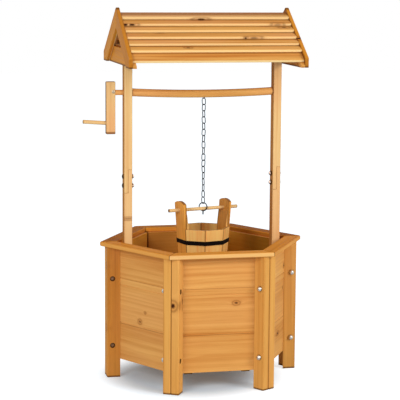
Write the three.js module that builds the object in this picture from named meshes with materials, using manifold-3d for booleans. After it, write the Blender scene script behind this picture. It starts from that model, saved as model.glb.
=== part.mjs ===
// A wishing well planter: a six-sided wooden planter on bolted leg boards, two posts that carry
// a slatted roof, and a crank that winds a bucket up on a chain.
// Millimetres, +Z up. The ridge and the axle run along X, the crank is at -X, the front is -Y.
// The origin is on the ground, under the middle of the whole part's outline.

import * as THREE from 'three';
import { mergeVertices } from 'three/addons/utils/BufferGeometryUtils.js';
import Module from 'manifold-3d';

const wasm = await Module();
wasm.setup();

// Clearances that every piece shares
const FIT = 0.3; // gap left between pieces that touch on the real object
const OVERRUN = 4; // how far a cutting tool runs past what it cuts
const ARRIS = 1.2; // small chamfer on sawn edges

// Planter walls
const SIDE_COUNT = 6;
const WALL_APOTHEM = 236.5; // from the middle to the outer face of a wall
const WALL_THICKNESS = 15;
const WALL_GROUND_CLEARANCE = 57;
const PLANK_COUNT = 3;
const PLANK_HEIGHT = 116.5;
const PLANK_GROOVE = 1.6; // depth of the V between two planks
const PANEL_END_GAP = 3; // from a panel's end to the inside corner

// Leg boards, two at each corner
const LEG_THICKNESS = 24.5;
const LEG_DEPTH = 26; // from the wall's corner to the outer edge, at the seam
const LEG_ARRIS = 2.6;

// Rim boards
const RIM_WIDTH = 45;
const RIM_THICKNESS = 13;
const RIM_SETBACK = 6; // from a wall's outer face in to the rim's inner edge
const RIM_ARRIS = 2;

// Floor
const BEARER_PLACE = 88; // from the middle to each bearer
const BEARER_WIDTH = 25;
const BEARER_HEIGHT = 20;
const BEARER_DROP = 7; // how far a bearer hangs below the walls
const FLOOR_THICKNESS = 12;
const FLOOR_BOARD_COUNT = 5;
const FLOOR_BOARD_GAP = 5;
const FLOOR_SIDE_GAP = 2;

// Posts, each an upper and a lower piece that lap and are bolted
const POST_WIDTH = 25; // along X
const POST_DEPTH = 34; // along Y
const LAP_HEIGHT = 149.5; // from the rim to the bottom of the lap
const LAP_LENGTH = 71;

// Windlass
const AXLE_HEIGHT = 455; // from the rim to the axle
const AXLE_RADIUS = 12.1;
const AXLE_BOW = 6; // how far the middle of the axle hangs down
const AXLE_END_PLAY = 1; // from an axle shoulder to its post
const AXLE_SIDES = 16;
const STUB_RADIUS = 8.2;
const STUB_PLAY = 0.35; // around a stub in its post
const STUB_SIDES = 32;
const STUB_SETBACK = 1.5; // how deep the plain end stops in its post
const BOW_STEPS = 12;
const ROOF_TO_ARM = 2.4; // from the gable to the crank arm, so that the arm can turn
const ARM_THICKNESS = 28; // along X
const ARM_DEPTH = 20; // along Y
const ARM_ABOVE_AXLE = 33.5;
const ARM_BELOW_AXLE = 125.5;
const ARM_SOCKET = 14; // depth of the sockets for the axle and the handle
const ARM_ARRIS = 1.8;
const HANDLE_DROP = 92; // from the axle down to the handle
const HANDLE_LENGTH = 71; // outside the arm
const HANDLE_RADIUS = 6;
const HANDLE_RISE = 4; // degrees
const HANDLE_SIDES = 16;
const HANDLE_ARRIS = 1;
const SCREW_HEAD_RADIUS = 3.6;
const SCREW_HEAD_HEIGHT = 2;
const SCREW_RADIUS = 1.7;
const SCREW_REACH = 9; // how far the screw runs into the axle
const SCREW_PLACE = 6; // from the arm's inner face to the screw
const SCREW_SIDES = 12;

// Chain, its staple and the ring that holds the bucket
const STAPLE_WIRE_RADIUS = 0.9;
const STAPLE_HALF_WIDTH = 3.6;
const STAPLE_LEG = 7; // how far the staple's legs run into the axle
const STAPLE_BEND_STEPS = 10;
const CHAIN_PLACE = 4; // from the middle of the hexagon, along X
const CHAIN_LINKS = 17;
const LINK_PITCH = 19.07;
const LINK_WIDTH = 11.5;
const LINK_WIRE_RADIUS = 1;
const LINK_FUSE = 0.3; // how far two links sink into each other, so that the chain is one solid
const LINK_YAW = 32; // degrees, the plane of the first link
const LINK_RING_STEPS = 12;
const WIRE_SIDES = 6;
const HOOK_RADIUS = 12.6;
const HOOK_WIRE_RADIUS = 1.3;
const HOOK_YAW = -30; // degrees, the plane of the ring
const HOOK_STEPS = 24;
const HOOK_SIDES = 8;
const HOOK_TAIL = 12;

// Bucket
const BUCKET_YAW = 14.6; // degrees, the direction of its cross bar
const STAVE_COUNT = 8;
const STAVE_THICKNESS = 10.5;
const BUCKET_MOUTH_APOTHEM = 77; // from the middle to the outside of a stave at the rim
const BUCKET_TAPER = 4.5; // degrees
const BUCKET_DEPTH = 157;
const CROSS_BAR_RADIUS = 5.3;
const CROSS_BAR_LENGTH = 237;
const CROSS_BAR_ABOVE_RIM = 57;
const CROSS_BAR_SIDES = 16;
const EAR_WIDTH = 60;
const EAR_ABOVE_BAR = 27.5;
const EAR_CROWN = 8; // rise of the round top of an ear
const EAR_CROWN_STEPS = 8;
const BUCKET_BASE_THICKNESS = 10;
const BUCKET_BASE_RECESS = 8; // from the lower end of the staves up to the base
const HOOP_BELOW_RIM = 34;
const HOOP_HEIGHT = 13;
const HOOP_THICKNESS = 1.4;

// Roof
const ROOF_SLOPE = 32; // degrees
const ROOF_HALF_SPAN = 226.5;
const EAVE_HEIGHT = 539.8; // from the rim to the lower edge of the gables
const BARGE_END_CUT = 29; // height of the plumb cut at the foot of a barge board
const BARGE_WIDTH = 52;
const BARGE_THICKNESS = 11;
const GABLE_FRAME_THICKNESS = 11.5;
const TIE_HEIGHT = 50;
const SLAT_SEAT = 19; // from the top of a barge board down to the rafter
const RAFTER_WIDTH = 15;
const SLAT_COUNT = 7; // on each side
const SLAT_THICKNESS = 9;
const SLAT_LAP = 9.1; // how much wider a slat is than the part of it that shows
const EAVE_SLAT_WIDTH = 43.7;
const EAVE_SLAT_SETBACK = 15.5; // from the rafters' ends to the lowest slat
const RIDGE_SETBACK = 2.5; // from the ridge down to the highest slat's head
const EXPOSURE_TRIES = 12;

// Colours and finishes
const WOOD = { color: 0xd69a52, roughness: 0.62, metalness: 0 };
const PALE_WOOD = { color: 0xe0ab68, roughness: 0.62, metalness: 0 };
const STEEL = { color: 0x9a9a9c, roughness: 0.35, metalness: 1 };
const BLACK_BAND = { color: 0x17120f, roughness: 0.5, metalness: 0 };

// Values that follow from the sizes above
const SIDE_ANGLE = (2 * Math.PI) / SIDE_COUNT;
const HALF_SIDE = SIDE_ANGLE / 2;
const STAVE_HALF_ANGLE = Math.PI / STAVE_COUNT;
const WALL_TOP = WALL_GROUND_CLEARANCE + PLANK_COUNT * PLANK_HEIGHT;
const RIM_BOTTOM = WALL_TOP + FIT;
const RIM_TOP = RIM_BOTTOM + RIM_THICKNESS;
const WALL_INNER = WALL_APOTHEM - WALL_THICKNESS;
const RIM_INNER = WALL_APOTHEM - RIM_SETBACK;
const RIM_OUTER = RIM_INNER + RIM_WIDTH;
const FLOOR_BOTTOM = WALL_GROUND_CLEARANCE - BEARER_DROP + BEARER_HEIGHT;
const FLOOR_TOP = FLOOR_BOTTOM + FLOOR_THICKNESS;
const POST_OUTER_X = alongCorner(WALL_INNER - FIT, POST_DEPTH / 2);
const POST_INNER_X = POST_OUTER_X - POST_WIDTH;
const LAP_BOTTOM = RIM_TOP + LAP_HEIGHT;
const LAP_TOP = LAP_BOTTOM + LAP_LENGTH;

const SLOPE = THREE.MathUtils.degToRad(ROOF_SLOPE);
const EAVE_Z = RIM_TOP + EAVE_HEIGHT;
const APEX_Z = EAVE_Z + BARGE_END_CUT + ROOF_HALF_SPAN * Math.tan(SLOPE);
const RAFTER_APEX_Z = APEX_Z - SLAT_SEAT / Math.cos(SLOPE);
const RAFTER_LOWER_APEX_Z = RAFTER_APEX_Z - RAFTER_WIDTH / Math.cos(SLOPE);
const BARGE_LOWER_APEX_Z = APEX_Z - BARGE_WIDTH / Math.cos(SLOPE);
const RAFTER_LENGTH = ROOF_HALF_SPAN / Math.cos(SLOPE);
const FRAME_INNER_X = POST_OUTER_X + FIT;
const BARGE_INNER_X = FRAME_INNER_X + GABLE_FRAME_THICKNESS + FIT;
const BARGE_OUTER_X = BARGE_INNER_X + BARGE_THICKNESS;
const POST_TOP = EAVE_Z + TIE_HEIGHT;

const AXLE_Z = RIM_TOP + AXLE_HEIGHT;
const ARM_INNER_X = -(BARGE_OUTER_X + ROOF_TO_ARM);
const ARM_OUTER_X = ARM_INNER_X - ARM_THICKNESS;
const SCREW_TIP_Y = SCREW_REACH - STUB_RADIUS;
const HANDLE_TILT = THREE.MathUtils.degToRad(HANDLE_RISE);

const AXLE_UNDERSIDE_Z = AXLE_Z - AXLE_BOW - AXLE_RADIUS;
const LINK_WIRE = 2 * LINK_WIRE_RADIUS;
const STAPLE_DROP = STAPLE_WIRE_RADIUS + LINK_WIRE + 2 * FIT;
const STAPLE_Z = AXLE_UNDERSIDE_Z - STAPLE_DROP;
const CHAIN_TOP_Z = STAPLE_Z + STAPLE_WIRE_RADIUS + LINK_WIRE_RADIUS + FIT;
const LINK_OVERLAP = LINK_WIRE - LINK_FUSE;
const CHAIN_END_Z = CHAIN_TOP_Z - CHAIN_LINKS * LINK_PITCH - LINK_OVERLAP;
const HOOK_Z = CHAIN_END_Z + LINK_WIRE_RADIUS + HOOK_WIRE_RADIUS + FIT - HOOK_RADIUS;
const CROSS_BAR_Z = HOOK_Z - HOOK_RADIUS + HOOK_WIRE_RADIUS + FIT + CROSS_BAR_RADIUS;
const BUCKET_RIM_Z = CROSS_BAR_Z - CROSS_BAR_ABOVE_RIM;
const BUCKET_BOTTOM_Z = BUCKET_RIM_Z - BUCKET_DEPTH;
const EAR_TOP_Z = CROSS_BAR_Z + EAR_ABOVE_BAR;
const TAPER = THREE.MathUtils.degToRad(BUCKET_TAPER);

// Distance from the middle to where a wall plane crosses a corner's radial plane, moved sideways
function alongCorner(apothem, sideways) {
  return (apothem - sideways * Math.sin(HALF_SIDE)) / Math.cos(HALF_SIDE);
}

// Solids and meshes

function solidOf(geometry) {
  const bare = geometry.clone();
  bare.deleteAttribute('normal');
  bare.deleteAttribute('uv');
  const merged = mergeVertices(bare);
  const vertProperties = new Float32Array(merged.attributes.position.array);
  const triVerts = new Uint32Array(merged.index.array);
  return new wasm.Manifold(new wasm.Mesh({ numProp: 3, vertProperties, triVerts }));
}

function geometryOf(solid) {
  const mesh = solid.getMesh();
  const geometry = new THREE.BufferGeometry();
  geometry.setAttribute('position', new THREE.BufferAttribute(mesh.vertProperties, mesh.numProp));
  geometry.setIndex(new THREE.BufferAttribute(mesh.triVerts, 1));
  geometry.computeVertexNormals();
  return geometry;
}

function join(geometries) {
  return geometryOf(geometries.map(solidOf).reduce((whole, piece) => whole.add(piece)));
}

function cut(geometry, tools) {
  return geometryOf(tools.map(solidOf).reduce((whole, tool) => whole.subtract(tool), solidOf(geometry)));
}

function common(geometry, keeper) {
  return geometryOf(solidOf(geometry).intersect(solidOf(keeper)));
}

// An outline of [x, y] points, thickened along +Z, with its edges chamfered
function prism(points, depth, arris) {
  const shape = new THREE.Shape(points.map(([x, y]) => new THREE.Vector2(x, y)));
  if (arris === 0) {
    return new THREE.ExtrudeGeometry(shape, { depth, bevelEnabled: false });
  }
  const geometry = new THREE.ExtrudeGeometry(shape, {
    depth: depth - 2 * arris,
    bevelEnabled: true,
    bevelThickness: arris,
    bevelSize: arris,
    bevelOffset: -arris,
    bevelSegments: 1,
  });
  geometry.translate(0, 0, arris);
  return geometry;
}

// The outline of a rectangle round the origin, with its corners cut off
function cutRectangle(width, height, arris) {
  const x = width / 2;
  const y = height / 2;
  return [
    [-x + arris, -y],
    [x - arris, -y],
    [x, -y + arris],
    [x, y - arris],
    [x - arris, y],
    [-x + arris, y],
    [-x, y - arris],
    [-x, -y + arris],
  ];
}

// A sawn board round the origin
function board(sizeX, sizeY, sizeZ, arris) {
  const geometry = prism(cutRectangle(sizeX, sizeY, arris), sizeZ, arris);
  geometry.translate(0, 0, -sizeZ / 2);
  return geometry;
}

// A plain block from low to high, used as a cutting tool
function block(low, high) {
  const geometry = new THREE.BoxGeometry(high[0] - low[0], high[1] - low[1], high[2] - low[2]);
  geometry.translate((low[0] + high[0]) / 2, (low[1] + high[1]) / 2, (low[2] + high[2]) / 2);
  return geometry;
}

// A round bar along X, from one end to the other
function roundBarX(radius, fromX, toX, sides) {
  const geometry = new THREE.CylinderGeometry(radius, radius, toX - fromX, sides);
  geometry.rotateZ(-Math.PI / 2);
  geometry.translate((fromX + toX) / 2, 0, 0);
  return geometry;
}

// An outline whose x runs along Y and whose y runs along Z, thickened along +X
function standOnEdge(geometry) {
  const turn = new THREE.Matrix4().makeBasis(
    new THREE.Vector3(0, 1, 0),
    new THREE.Vector3(0, 0, 1),
    new THREE.Vector3(1, 0, 0),
  );
  return geometry.applyMatrix4(turn);
}

// An outline whose x stays X and whose y runs along Z, thickened along Y round the middle
function standFacingFront(geometry, depth) {
  geometry.rotateX(Math.PI / 2);
  geometry.translate(0, depth / 2, 0);
  return geometry;
}

function named(name, geometry, finish) {
  const mesh = new THREE.Mesh(geometry, new THREE.MeshStandardMaterial(finish));
  mesh.name = name;
  return mesh;
}

// Planter

// Three planks edge to edge, with a V between each two on both faces
function wallPanel() {
  const grooves = Array.from({ length: PLANK_COUNT - 1 }, (unused, i) => (i + 1) * PLANK_HEIGHT);
  const outer = grooves.flatMap((z) => [
    [WALL_THICKNESS, z - PLANK_GROOVE],
    [WALL_THICKNESS - PLANK_GROOVE, z],
    [WALL_THICKNESS, z + PLANK_GROOVE],
  ]);
  const inner = grooves.reverse().flatMap((z) => [
    [0, z + PLANK_GROOVE],
    [PLANK_GROOVE, z],
    [0, z - PLANK_GROOVE],
  ]);
  const height = PLANK_COUNT * PLANK_HEIGHT;
  const outline = [[0, 0], [WALL_THICKNESS, 0], ...outer, [WALL_THICKNESS, height], [0, height], ...inner];
  const length = 2 * (WALL_INNER * Math.tan(HALF_SIDE) - PANEL_END_GAP);
  const geometry = standFacingFront(prism(outline, length, 0), length);
  geometry.translate(WALL_INNER, 0, WALL_GROUND_CLEARANCE);
  return geometry;
}

// A leg board in its corner's frame, where X is radial; its inner edge lies on the wall's face
function legBoard(side) {
  const near = FIT / 2;
  const far = near + LEG_THICKNESS;
  const face = WALL_APOTHEM + FIT;
  const edge = alongCorner(face, 0) + LEG_DEPTH;
  const outline = [
    [alongCorner(face, near), near],
    [edge - LEG_ARRIS, near],
    [edge, near + LEG_ARRIS],
    [edge, far - LEG_ARRIS],
    [edge - LEG_ARRIS, far],
    [alongCorner(face, far), far],
  ];
  const mirrored = side < 0 ? outline.map(([x, y]) => [x, -y]).reverse() : outline;
  return prism(mirrored, WALL_TOP, 0);
}

function rimBoard() {
  const mitre = FIT / 2 / Math.cos(HALF_SIDE);
  const innerEnd = RIM_INNER * Math.tan(HALF_SIDE) - mitre;
  const outerEnd = RIM_OUTER * Math.tan(HALF_SIDE) - mitre;
  const outline = [
    [RIM_INNER, -innerEnd],
    [RIM_OUTER, -outerEnd],
    [RIM_OUTER, outerEnd],
    [RIM_INNER, innerEnd],
  ];
  const geometry = prism(outline, RIM_THICKNESS, RIM_ARRIS);
  geometry.translate(0, 0, RIM_BOTTOM);
  return geometry;
}

// One floor board, cut to the inside of the walls
function floorBoard(fromY, toY) {
  const limit = WALL_INNER - FLOOR_SIDE_GAP;
  const reach = (y) => alongCorner(limit, Math.abs(y));
  const stations = fromY < 0 && toY > 0 ? [fromY, 0, toY] : [fromY, toY];
  const right = stations.map((y) => [reach(y), y]);
  const left = stations.map((y) => [-reach(y), y]).reverse();
  const geometry = prism([...right, ...left], FLOOR_THICKNESS, 0);
  geometry.translate(0, 0, FLOOR_BOTTOM);
  return geometry;
}

function floor() {
  const half = WALL_INNER - FLOOR_SIDE_GAP;
  const step = (2 * half + FLOOR_BOARD_GAP) / FLOOR_BOARD_COUNT;
  const boards = Array.from({ length: FLOOR_BOARD_COUNT }, (unused, i) => {
    const start = -half + i * step;
    return floorBoard(start, start + step - FLOOR_BOARD_GAP);
  });
  const bearerReach = WALL_INNER - FIT;
  const low = FLOOR_BOTTOM - BEARER_HEIGHT;
  const sunk = FLOOR_BOTTOM + FIT;
  const bearers = [-1, 1].map((side) => {
    const middle = side * BEARER_PLACE;
    const halfWidth = BEARER_WIDTH / 2;
    return block([middle - halfWidth, -bearerReach, low], [middle + halfWidth, bearerReach, sunk]);
  });
  return join([...boards, ...bearers]);
}

function planter() {
  const group = new THREE.Group();
  const sides = ['front', 'front_right', 'back_right', 'back', 'back_left', 'front_left'];
  sides.forEach((side, i) => {
    const facing = -Math.PI / 2 + i * SIDE_ANGLE;
    const wallFrame = new THREE.Group();
    wallFrame.rotation.z = facing;
    wallFrame.add(named(`${side}_wall`, wallPanel(), WOOD));
    wallFrame.add(named(`${side}_rim`, rimBoard(), WOOD));
    group.add(wallFrame);
    for (const end of [-1, 1]) {
      const cornerFrame = new THREE.Group();
      cornerFrame.rotation.z = facing + end * HALF_SIDE;
      const name = `${side}_leg_${end < 0 ? 'left' : 'right'}`;
      cornerFrame.add(named(name, legBoard(-end), WOOD));
      group.add(cornerFrame);
    }
  });
  group.add(named('floor', floor(), WOOD));
  return group;
}

// Posts: both have their lower piece's tongue on the +X side

function postLower(outerX, innerX) {
  const low = Math.min(outerX, innerX);
  const high = Math.max(outerX, innerX);
  const middle = (low + high) / 2;
  const outline = [
    [low, FLOOR_TOP + FIT],
    [high, FLOOR_TOP + FIT],
    [high, LAP_TOP],
    [middle + FIT / 2, LAP_TOP],
    [middle + FIT / 2, LAP_BOTTOM],
    [low, LAP_BOTTOM],
  ];
  return standFacingFront(prism(outline, POST_DEPTH, ARRIS), POST_DEPTH);
}

function postUpper(outerX, innerX) {
  const low = Math.min(outerX, innerX);
  const high = Math.max(outerX, innerX);
  const middle = (low + high) / 2;
  const outline = [
    [low, LAP_BOTTOM + FIT],
    [middle - FIT / 2, LAP_BOTTOM + FIT],
    [middle - FIT / 2, LAP_TOP + FIT],
    [high, LAP_TOP + FIT],
    [high, POST_TOP],
    [low, POST_TOP],
  ];
  const timber = standFacingFront(prism(outline, POST_DEPTH, ARRIS), POST_DEPTH);
  const bore = roundBarX(STUB_RADIUS + STUB_PLAY, low - OVERRUN, high + OVERRUN, STUB_SIDES);
  bore.translate(0, 0, AXLE_Z);
  return cut(timber, [bore]);
}

function posts() {
  const group = new THREE.Group();
  for (const [name, side] of [['left', -1], ['right', 1]]) {
    const outerX = side * POST_OUTER_X;
    const innerX = side * POST_INNER_X;
    group.add(named(`${name}_post_lower`, postLower(outerX, innerX), PALE_WOOD));
    group.add(named(`${name}_post_upper`, postUpper(outerX, innerX), PALE_WOOD));
  }
  return group;
}

// Roof

// One barge board: plumb at the ridge and at its foot, and level underneath
function bargeBoard(side) {
  const footY = (BARGE_LOWER_APEX_Z - EAVE_Z) / Math.tan(SLOPE);
  const ridge = FIT / 2;
  const fall = ridge * Math.tan(SLOPE);
  const outline = [
    [ridge, BARGE_LOWER_APEX_Z - fall],
    [footY, EAVE_Z],
    [ROOF_HALF_SPAN, EAVE_Z],
    [ROOF_HALF_SPAN, EAVE_Z + BARGE_END_CUT],
    [ridge, APEX_Z - fall],
  ];
  const mirrored = side < 0 ? outline.map(([y, z]) => [-y, z]).reverse() : outline;
  return standOnEdge(prism(mirrored, BARGE_THICKNESS, ARRIS));
}

// Two rafters and a tie beam behind the barge boards, with a triangle left open above the tie
function gableFrame() {
  const rafterFootZ = RAFTER_APEX_Z - ROOF_HALF_SPAN * Math.tan(SLOPE);
  const tieTop = EAVE_Z + TIE_HEIGHT;
  const openHalf = (RAFTER_LOWER_APEX_Z - tieTop) / Math.tan(SLOPE);
  const shape = new THREE.Shape([
    new THREE.Vector2(-ROOF_HALF_SPAN, EAVE_Z),
    new THREE.Vector2(ROOF_HALF_SPAN, EAVE_Z),
    new THREE.Vector2(ROOF_HALF_SPAN, rafterFootZ),
    new THREE.Vector2(0, RAFTER_APEX_Z),
    new THREE.Vector2(-ROOF_HALF_SPAN, rafterFootZ),
  ]);
  shape.holes.push(new THREE.Path([
    new THREE.Vector2(-openHalf, tieTop),
    new THREE.Vector2(0, RAFTER_LOWER_APEX_Z),
    new THREE.Vector2(openHalf, tieTop),
  ]));
  return standOnEdge(new THREE.ExtrudeGeometry(shape, { depth: GABLE_FRAME_THICKNESS, bevelEnabled: false }));
}

// How far a slat on top of the flat lowest slat sits up the slope from it, at a lean
function overEaveSlat(lean) {
  return (SLAT_THICKNESS + FIT / Math.cos(lean)) / Math.tan(lean);
}

// The lean at which slats with this exposure lie flat on each other
function slatLean(exposure) {
  return Math.asin((SLAT_THICKNESS + FIT) / exposure);
}

// The exposure that spreads the slats evenly from the eave to the ridge. Lean and exposure depend
// on each other, so each try uses the lean of the one before.
function slatExposure(eaveHead) {
  const run = eaveHead - RIDGE_SETBACK;
  let exposure = run / (SLAT_COUNT - 1);
  for (let i = 0; i < EXPOSURE_TRIES; i += 1) {
    exposure = (run - overEaveSlat(slatLean(exposure))) / (SLAT_COUNT - 2);
  }
  return exposure;
}

// Where each slat lies: s runs down the slope from the ridge and h stands off the rafter, both to
// the lower edge of the slat's head, and the slat leans up from there to lie on the one below
function slatPlaces() {
  const eaveHead = RAFTER_LENGTH - EAVE_SLAT_SETBACK - EAVE_SLAT_WIDTH;
  const exposure = slatExposure(eaveHead);
  const lean = slatLean(exposure);
  const places = [{ s: eaveHead, h: FIT, width: EAVE_SLAT_WIDTH, lean: 0 }];
  for (let i = 1; i < SLAT_COUNT; i += 1) {
    const s = eaveHead - overEaveSlat(lean) - (i - 1) * exposure;
    places.push({ s, h: FIT, width: exposure + SLAT_LAP, lean });
  }
  return places;
}

// One side of the roof; its frame lies on the rafters, with Y down the slope
function roofSide(name, turn) {
  const side = new THREE.Group();
  side.rotation.z = turn;
  const slope = new THREE.Group();
  slope.position.z = RAFTER_APEX_Z;
  slope.rotation.x = -SLOPE;
  side.add(slope);
  const length = 2 * (BARGE_INNER_X - FIT);
  slatPlaces().forEach(({ s, h, width, lean }, i) => {
    const slat = board(length, width, SLAT_THICKNESS, ARRIS);
    slat.translate(0, width / 2, SLAT_THICKNESS / 2);
    const mesh = named(`${name}_slat_${i + 1}`, slat, WOOD);
    mesh.position.set(0, s, h);
    mesh.rotation.x = lean;
    slope.add(mesh);
  });
  return side;
}

function roof() {
  const group = new THREE.Group();
  for (const [name, sign] of [['left', -1], ['right', 1]]) {
    const frame = named(`${name}_gable_frame`, gableFrame(), WOOD);
    frame.position.x = sign < 0 ? -FRAME_INNER_X - GABLE_FRAME_THICKNESS : FRAME_INNER_X;
    group.add(frame);
    for (const [place, side] of [['front', -1], ['back', 1]]) {
      const barge = named(`${name}_barge_${place}`, bargeBoard(side), WOOD);
      barge.position.x = sign < 0 ? -BARGE_OUTER_X : BARGE_INNER_X;
      group.add(barge);
    }
  }
  group.add(roofSide('front', Math.PI));
  group.add(roofSide('back', 0));
  return group;
}

// Windlass: its pieces are placed round the axle's line, which is the hinge

function axle() {
  const shoulder = POST_INNER_X - AXLE_END_PLAY;
  const bow = new THREE.CatmullRomCurve3(Array.from({ length: BOW_STEPS + 1 }, (unused, i) => {
    const share = (2 * i) / BOW_STEPS - 1;
    return new THREE.Vector3(share * shoulder, 0, -AXLE_BOW * (1 - share * share));
  }));
  const section = new THREE.Shape(Array.from({ length: AXLE_SIDES }, (unused, i) => {
    const angle = (2 * Math.PI * i) / AXLE_SIDES;
    return new THREE.Vector2(AXLE_RADIUS * Math.cos(angle), AXLE_RADIUS * Math.sin(angle));
  }));
  const shaft = new THREE.ExtrudeGeometry(section, { steps: BOW_STEPS, bevelEnabled: false, extrudePath: bow });
  const crankEnd = ARM_INNER_X - ARM_SOCKET + FIT;
  const plainEnd = POST_OUTER_X - STUB_SETBACK;
  const left = roundBarX(STUB_RADIUS, crankEnd, -shoulder + OVERRUN, STUB_SIDES);
  const right = roundBarX(STUB_RADIUS, shoulder - OVERRUN, plainEnd, STUB_SIDES);
  const screwHole = screwShank(SCREW_RADIUS + FIT, OVERRUN, SCREW_TIP_Y + FIT);
  const stapleHoles = stapleLegs(STAPLE_WIRE_RADIUS + FIT, STAPLE_LEG + FIT);
  return cut(join([shaft, left, right]), [screwHole, ...stapleHoles]);
}

function crankArm() {
  const length = ARM_ABOVE_AXLE + ARM_BELOW_AXLE;
  const timber = board(ARM_THICKNESS, ARM_DEPTH, length, ARM_ARRIS);
  timber.translate((ARM_INNER_X + ARM_OUTER_X) / 2, 0, ARM_ABOVE_AXLE - length / 2);
  const socket = roundBarX(STUB_RADIUS + FIT, ARM_INNER_X - ARM_SOCKET, ARM_INNER_X + OVERRUN, STUB_SIDES);
  const handleHole = handleBar(HANDLE_RADIUS + FIT, ARM_SOCKET, HANDLE_LENGTH);
  const screwHole = screwShank(SCREW_RADIUS + FIT, ARM_DEPTH, 0);
  return cut(timber, [socket, handleHole, screwHole]);
}

// A round bar in the handle's place: inward into the arm and outward from its face
function handleBar(radius, inward, outward) {
  const bar = roundBarX(radius, -outward, inward, HANDLE_SIDES);
  bar.rotateY(HANDLE_TILT);
  bar.translate(ARM_OUTER_X, 0, -HANDLE_DROP);
  return bar;
}

function crankHandle() {
  const inner = ARM_SOCKET - FIT;
  const profile = [
    [0, -HANDLE_LENGTH],
    [HANDLE_RADIUS - HANDLE_ARRIS, -HANDLE_LENGTH],
    [HANDLE_RADIUS, -HANDLE_LENGTH + HANDLE_ARRIS],
    [HANDLE_RADIUS, inner],
    [0, inner],
  ].map(([r, y]) => new THREE.Vector2(r, y));
  const bar = new THREE.LatheGeometry(profile, HANDLE_SIDES);
  bar.rotateZ(-Math.PI / 2);
  bar.rotateY(HANDLE_TILT);
  bar.translate(ARM_OUTER_X, 0, -HANDLE_DROP);
  return bar;
}

// A round bar along Y in the crank screw's place, from in front of the arm to a depth in the axle
function screwShank(radius, inFront, toY) {
  const fromY = -ARM_DEPTH / 2 - inFront;
  const shank = new THREE.CylinderGeometry(radius, radius, toY - fromY, SCREW_SIDES);
  shank.translate(ARM_INNER_X - SCREW_PLACE, (fromY + toY) / 2, 0);
  return shank;
}

function crankScrew() {
  const face = -ARM_DEPTH / 2 - FIT;
  const profile = [
    [0, face - SCREW_HEAD_HEIGHT],
    [SCREW_HEAD_RADIUS / 2, face - SCREW_HEAD_HEIGHT],
    [SCREW_HEAD_RADIUS, face - SCREW_HEAD_HEIGHT / 2],
    [SCREW_HEAD_RADIUS, face],
    [SCREW_RADIUS, face],
    [SCREW_RADIUS, SCREW_TIP_Y - SCREW_RADIUS],
    [0, SCREW_TIP_Y],
  ].map(([r, y]) => new THREE.Vector2(r, y));
  const screw = new THREE.LatheGeometry(profile, SCREW_SIDES);
  screw.translate(ARM_INNER_X - SCREW_PLACE, 0, 0);
  return screw;
}

// The staple's two straight legs, as upright bars in the axle's frame
function stapleLegs(radius, length) {
  const bottom = STAPLE_Z - AXLE_Z + STAPLE_HALF_WIDTH;
  const top = AXLE_UNDERSIDE_Z - AXLE_Z + length;
  return [-1, 1].map((side) => {
    const leg = new THREE.CylinderGeometry(radius, radius, top - bottom, WIRE_SIDES);
    leg.rotateX(Math.PI / 2);
    leg.translate(side * STAPLE_HALF_WIDTH, 0, (bottom + top) / 2);
    leg.rotateZ(THREE.MathUtils.degToRad(LINK_YAW) + Math.PI / 2);
    leg.translate(CHAIN_PLACE, 0, 0);
    return leg;
  });
}

// A wire bent into a U, whose bend holds the first link
function chainStaple() {
  const top = AXLE_UNDERSIDE_Z - AXLE_Z + STAPLE_LEG;
  const bendZ = STAPLE_Z - AXLE_Z + STAPLE_HALF_WIDTH;
  const bend = Array.from({ length: STAPLE_BEND_STEPS + 1 }, (unused, i) => {
    const angle = Math.PI + (Math.PI * i) / STAPLE_BEND_STEPS;
    const x = STAPLE_HALF_WIDTH * Math.cos(angle);
    return new THREE.Vector3(x, 0, bendZ + STAPLE_HALF_WIDTH * Math.sin(angle));
  });
  const path = new THREE.CurvePath();
  const points = [
    new THREE.Vector3(-STAPLE_HALF_WIDTH, 0, top),
    ...bend,
    new THREE.Vector3(STAPLE_HALF_WIDTH, 0, top),
  ];
  for (let i = 1; i < points.length; i += 1) {
    path.add(new THREE.LineCurve3(points[i - 1], points[i]));
  }
  const section = new THREE.Shape(Array.from({ length: WIRE_SIDES }, (unused, i) => {
    const angle = (2 * Math.PI * i) / WIRE_SIDES;
    return new THREE.Vector2(STAPLE_WIRE_RADIUS * Math.cos(angle), STAPLE_WIRE_RADIUS * Math.sin(angle));
  }));
  const steps = 4 * STAPLE_BEND_STEPS;
  const staple = new THREE.ExtrudeGeometry(section, { steps, bevelEnabled: false, extrudePath: path });
  staple.rotateZ(THREE.MathUtils.degToRad(LINK_YAW) + Math.PI / 2);
  staple.translate(CHAIN_PLACE, 0, 0);
  return staple;
}

function windlass() {
  const group = new THREE.Group();
  group.position.z = AXLE_Z;
  group.add(named('axle', axle(), PALE_WOOD));
  group.add(named('crank_arm', crankArm(), PALE_WOOD));
  group.add(named('crank_handle', crankHandle(), PALE_WOOD));
  group.add(named('crank_screw', crankScrew(), STEEL));
  group.add(named('chain_staple', chainStaple(), STEEL));
  return group;
}

// Chain and ring

// One link, upright in the XZ plane: a ring pulled long
function chainLink() {
  const bend = LINK_WIDTH / 2 - LINK_WIRE_RADIUS;
  const straight = LINK_PITCH + LINK_OVERLAP - 2 * bend;
  const link = new THREE.TorusGeometry(bend, LINK_WIRE_RADIUS, WIRE_SIDES, LINK_RING_STEPS);
  const points = link.attributes.position;
  for (let i = 0; i < points.count; i += 1) {
    const y = points.getY(i);
    if (Math.abs(y) > FIT) {
      points.setY(i, y + (Math.sign(y) * straight) / 2);
    }
  }
  link.rotateX(Math.PI / 2);
  return link;
}

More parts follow.
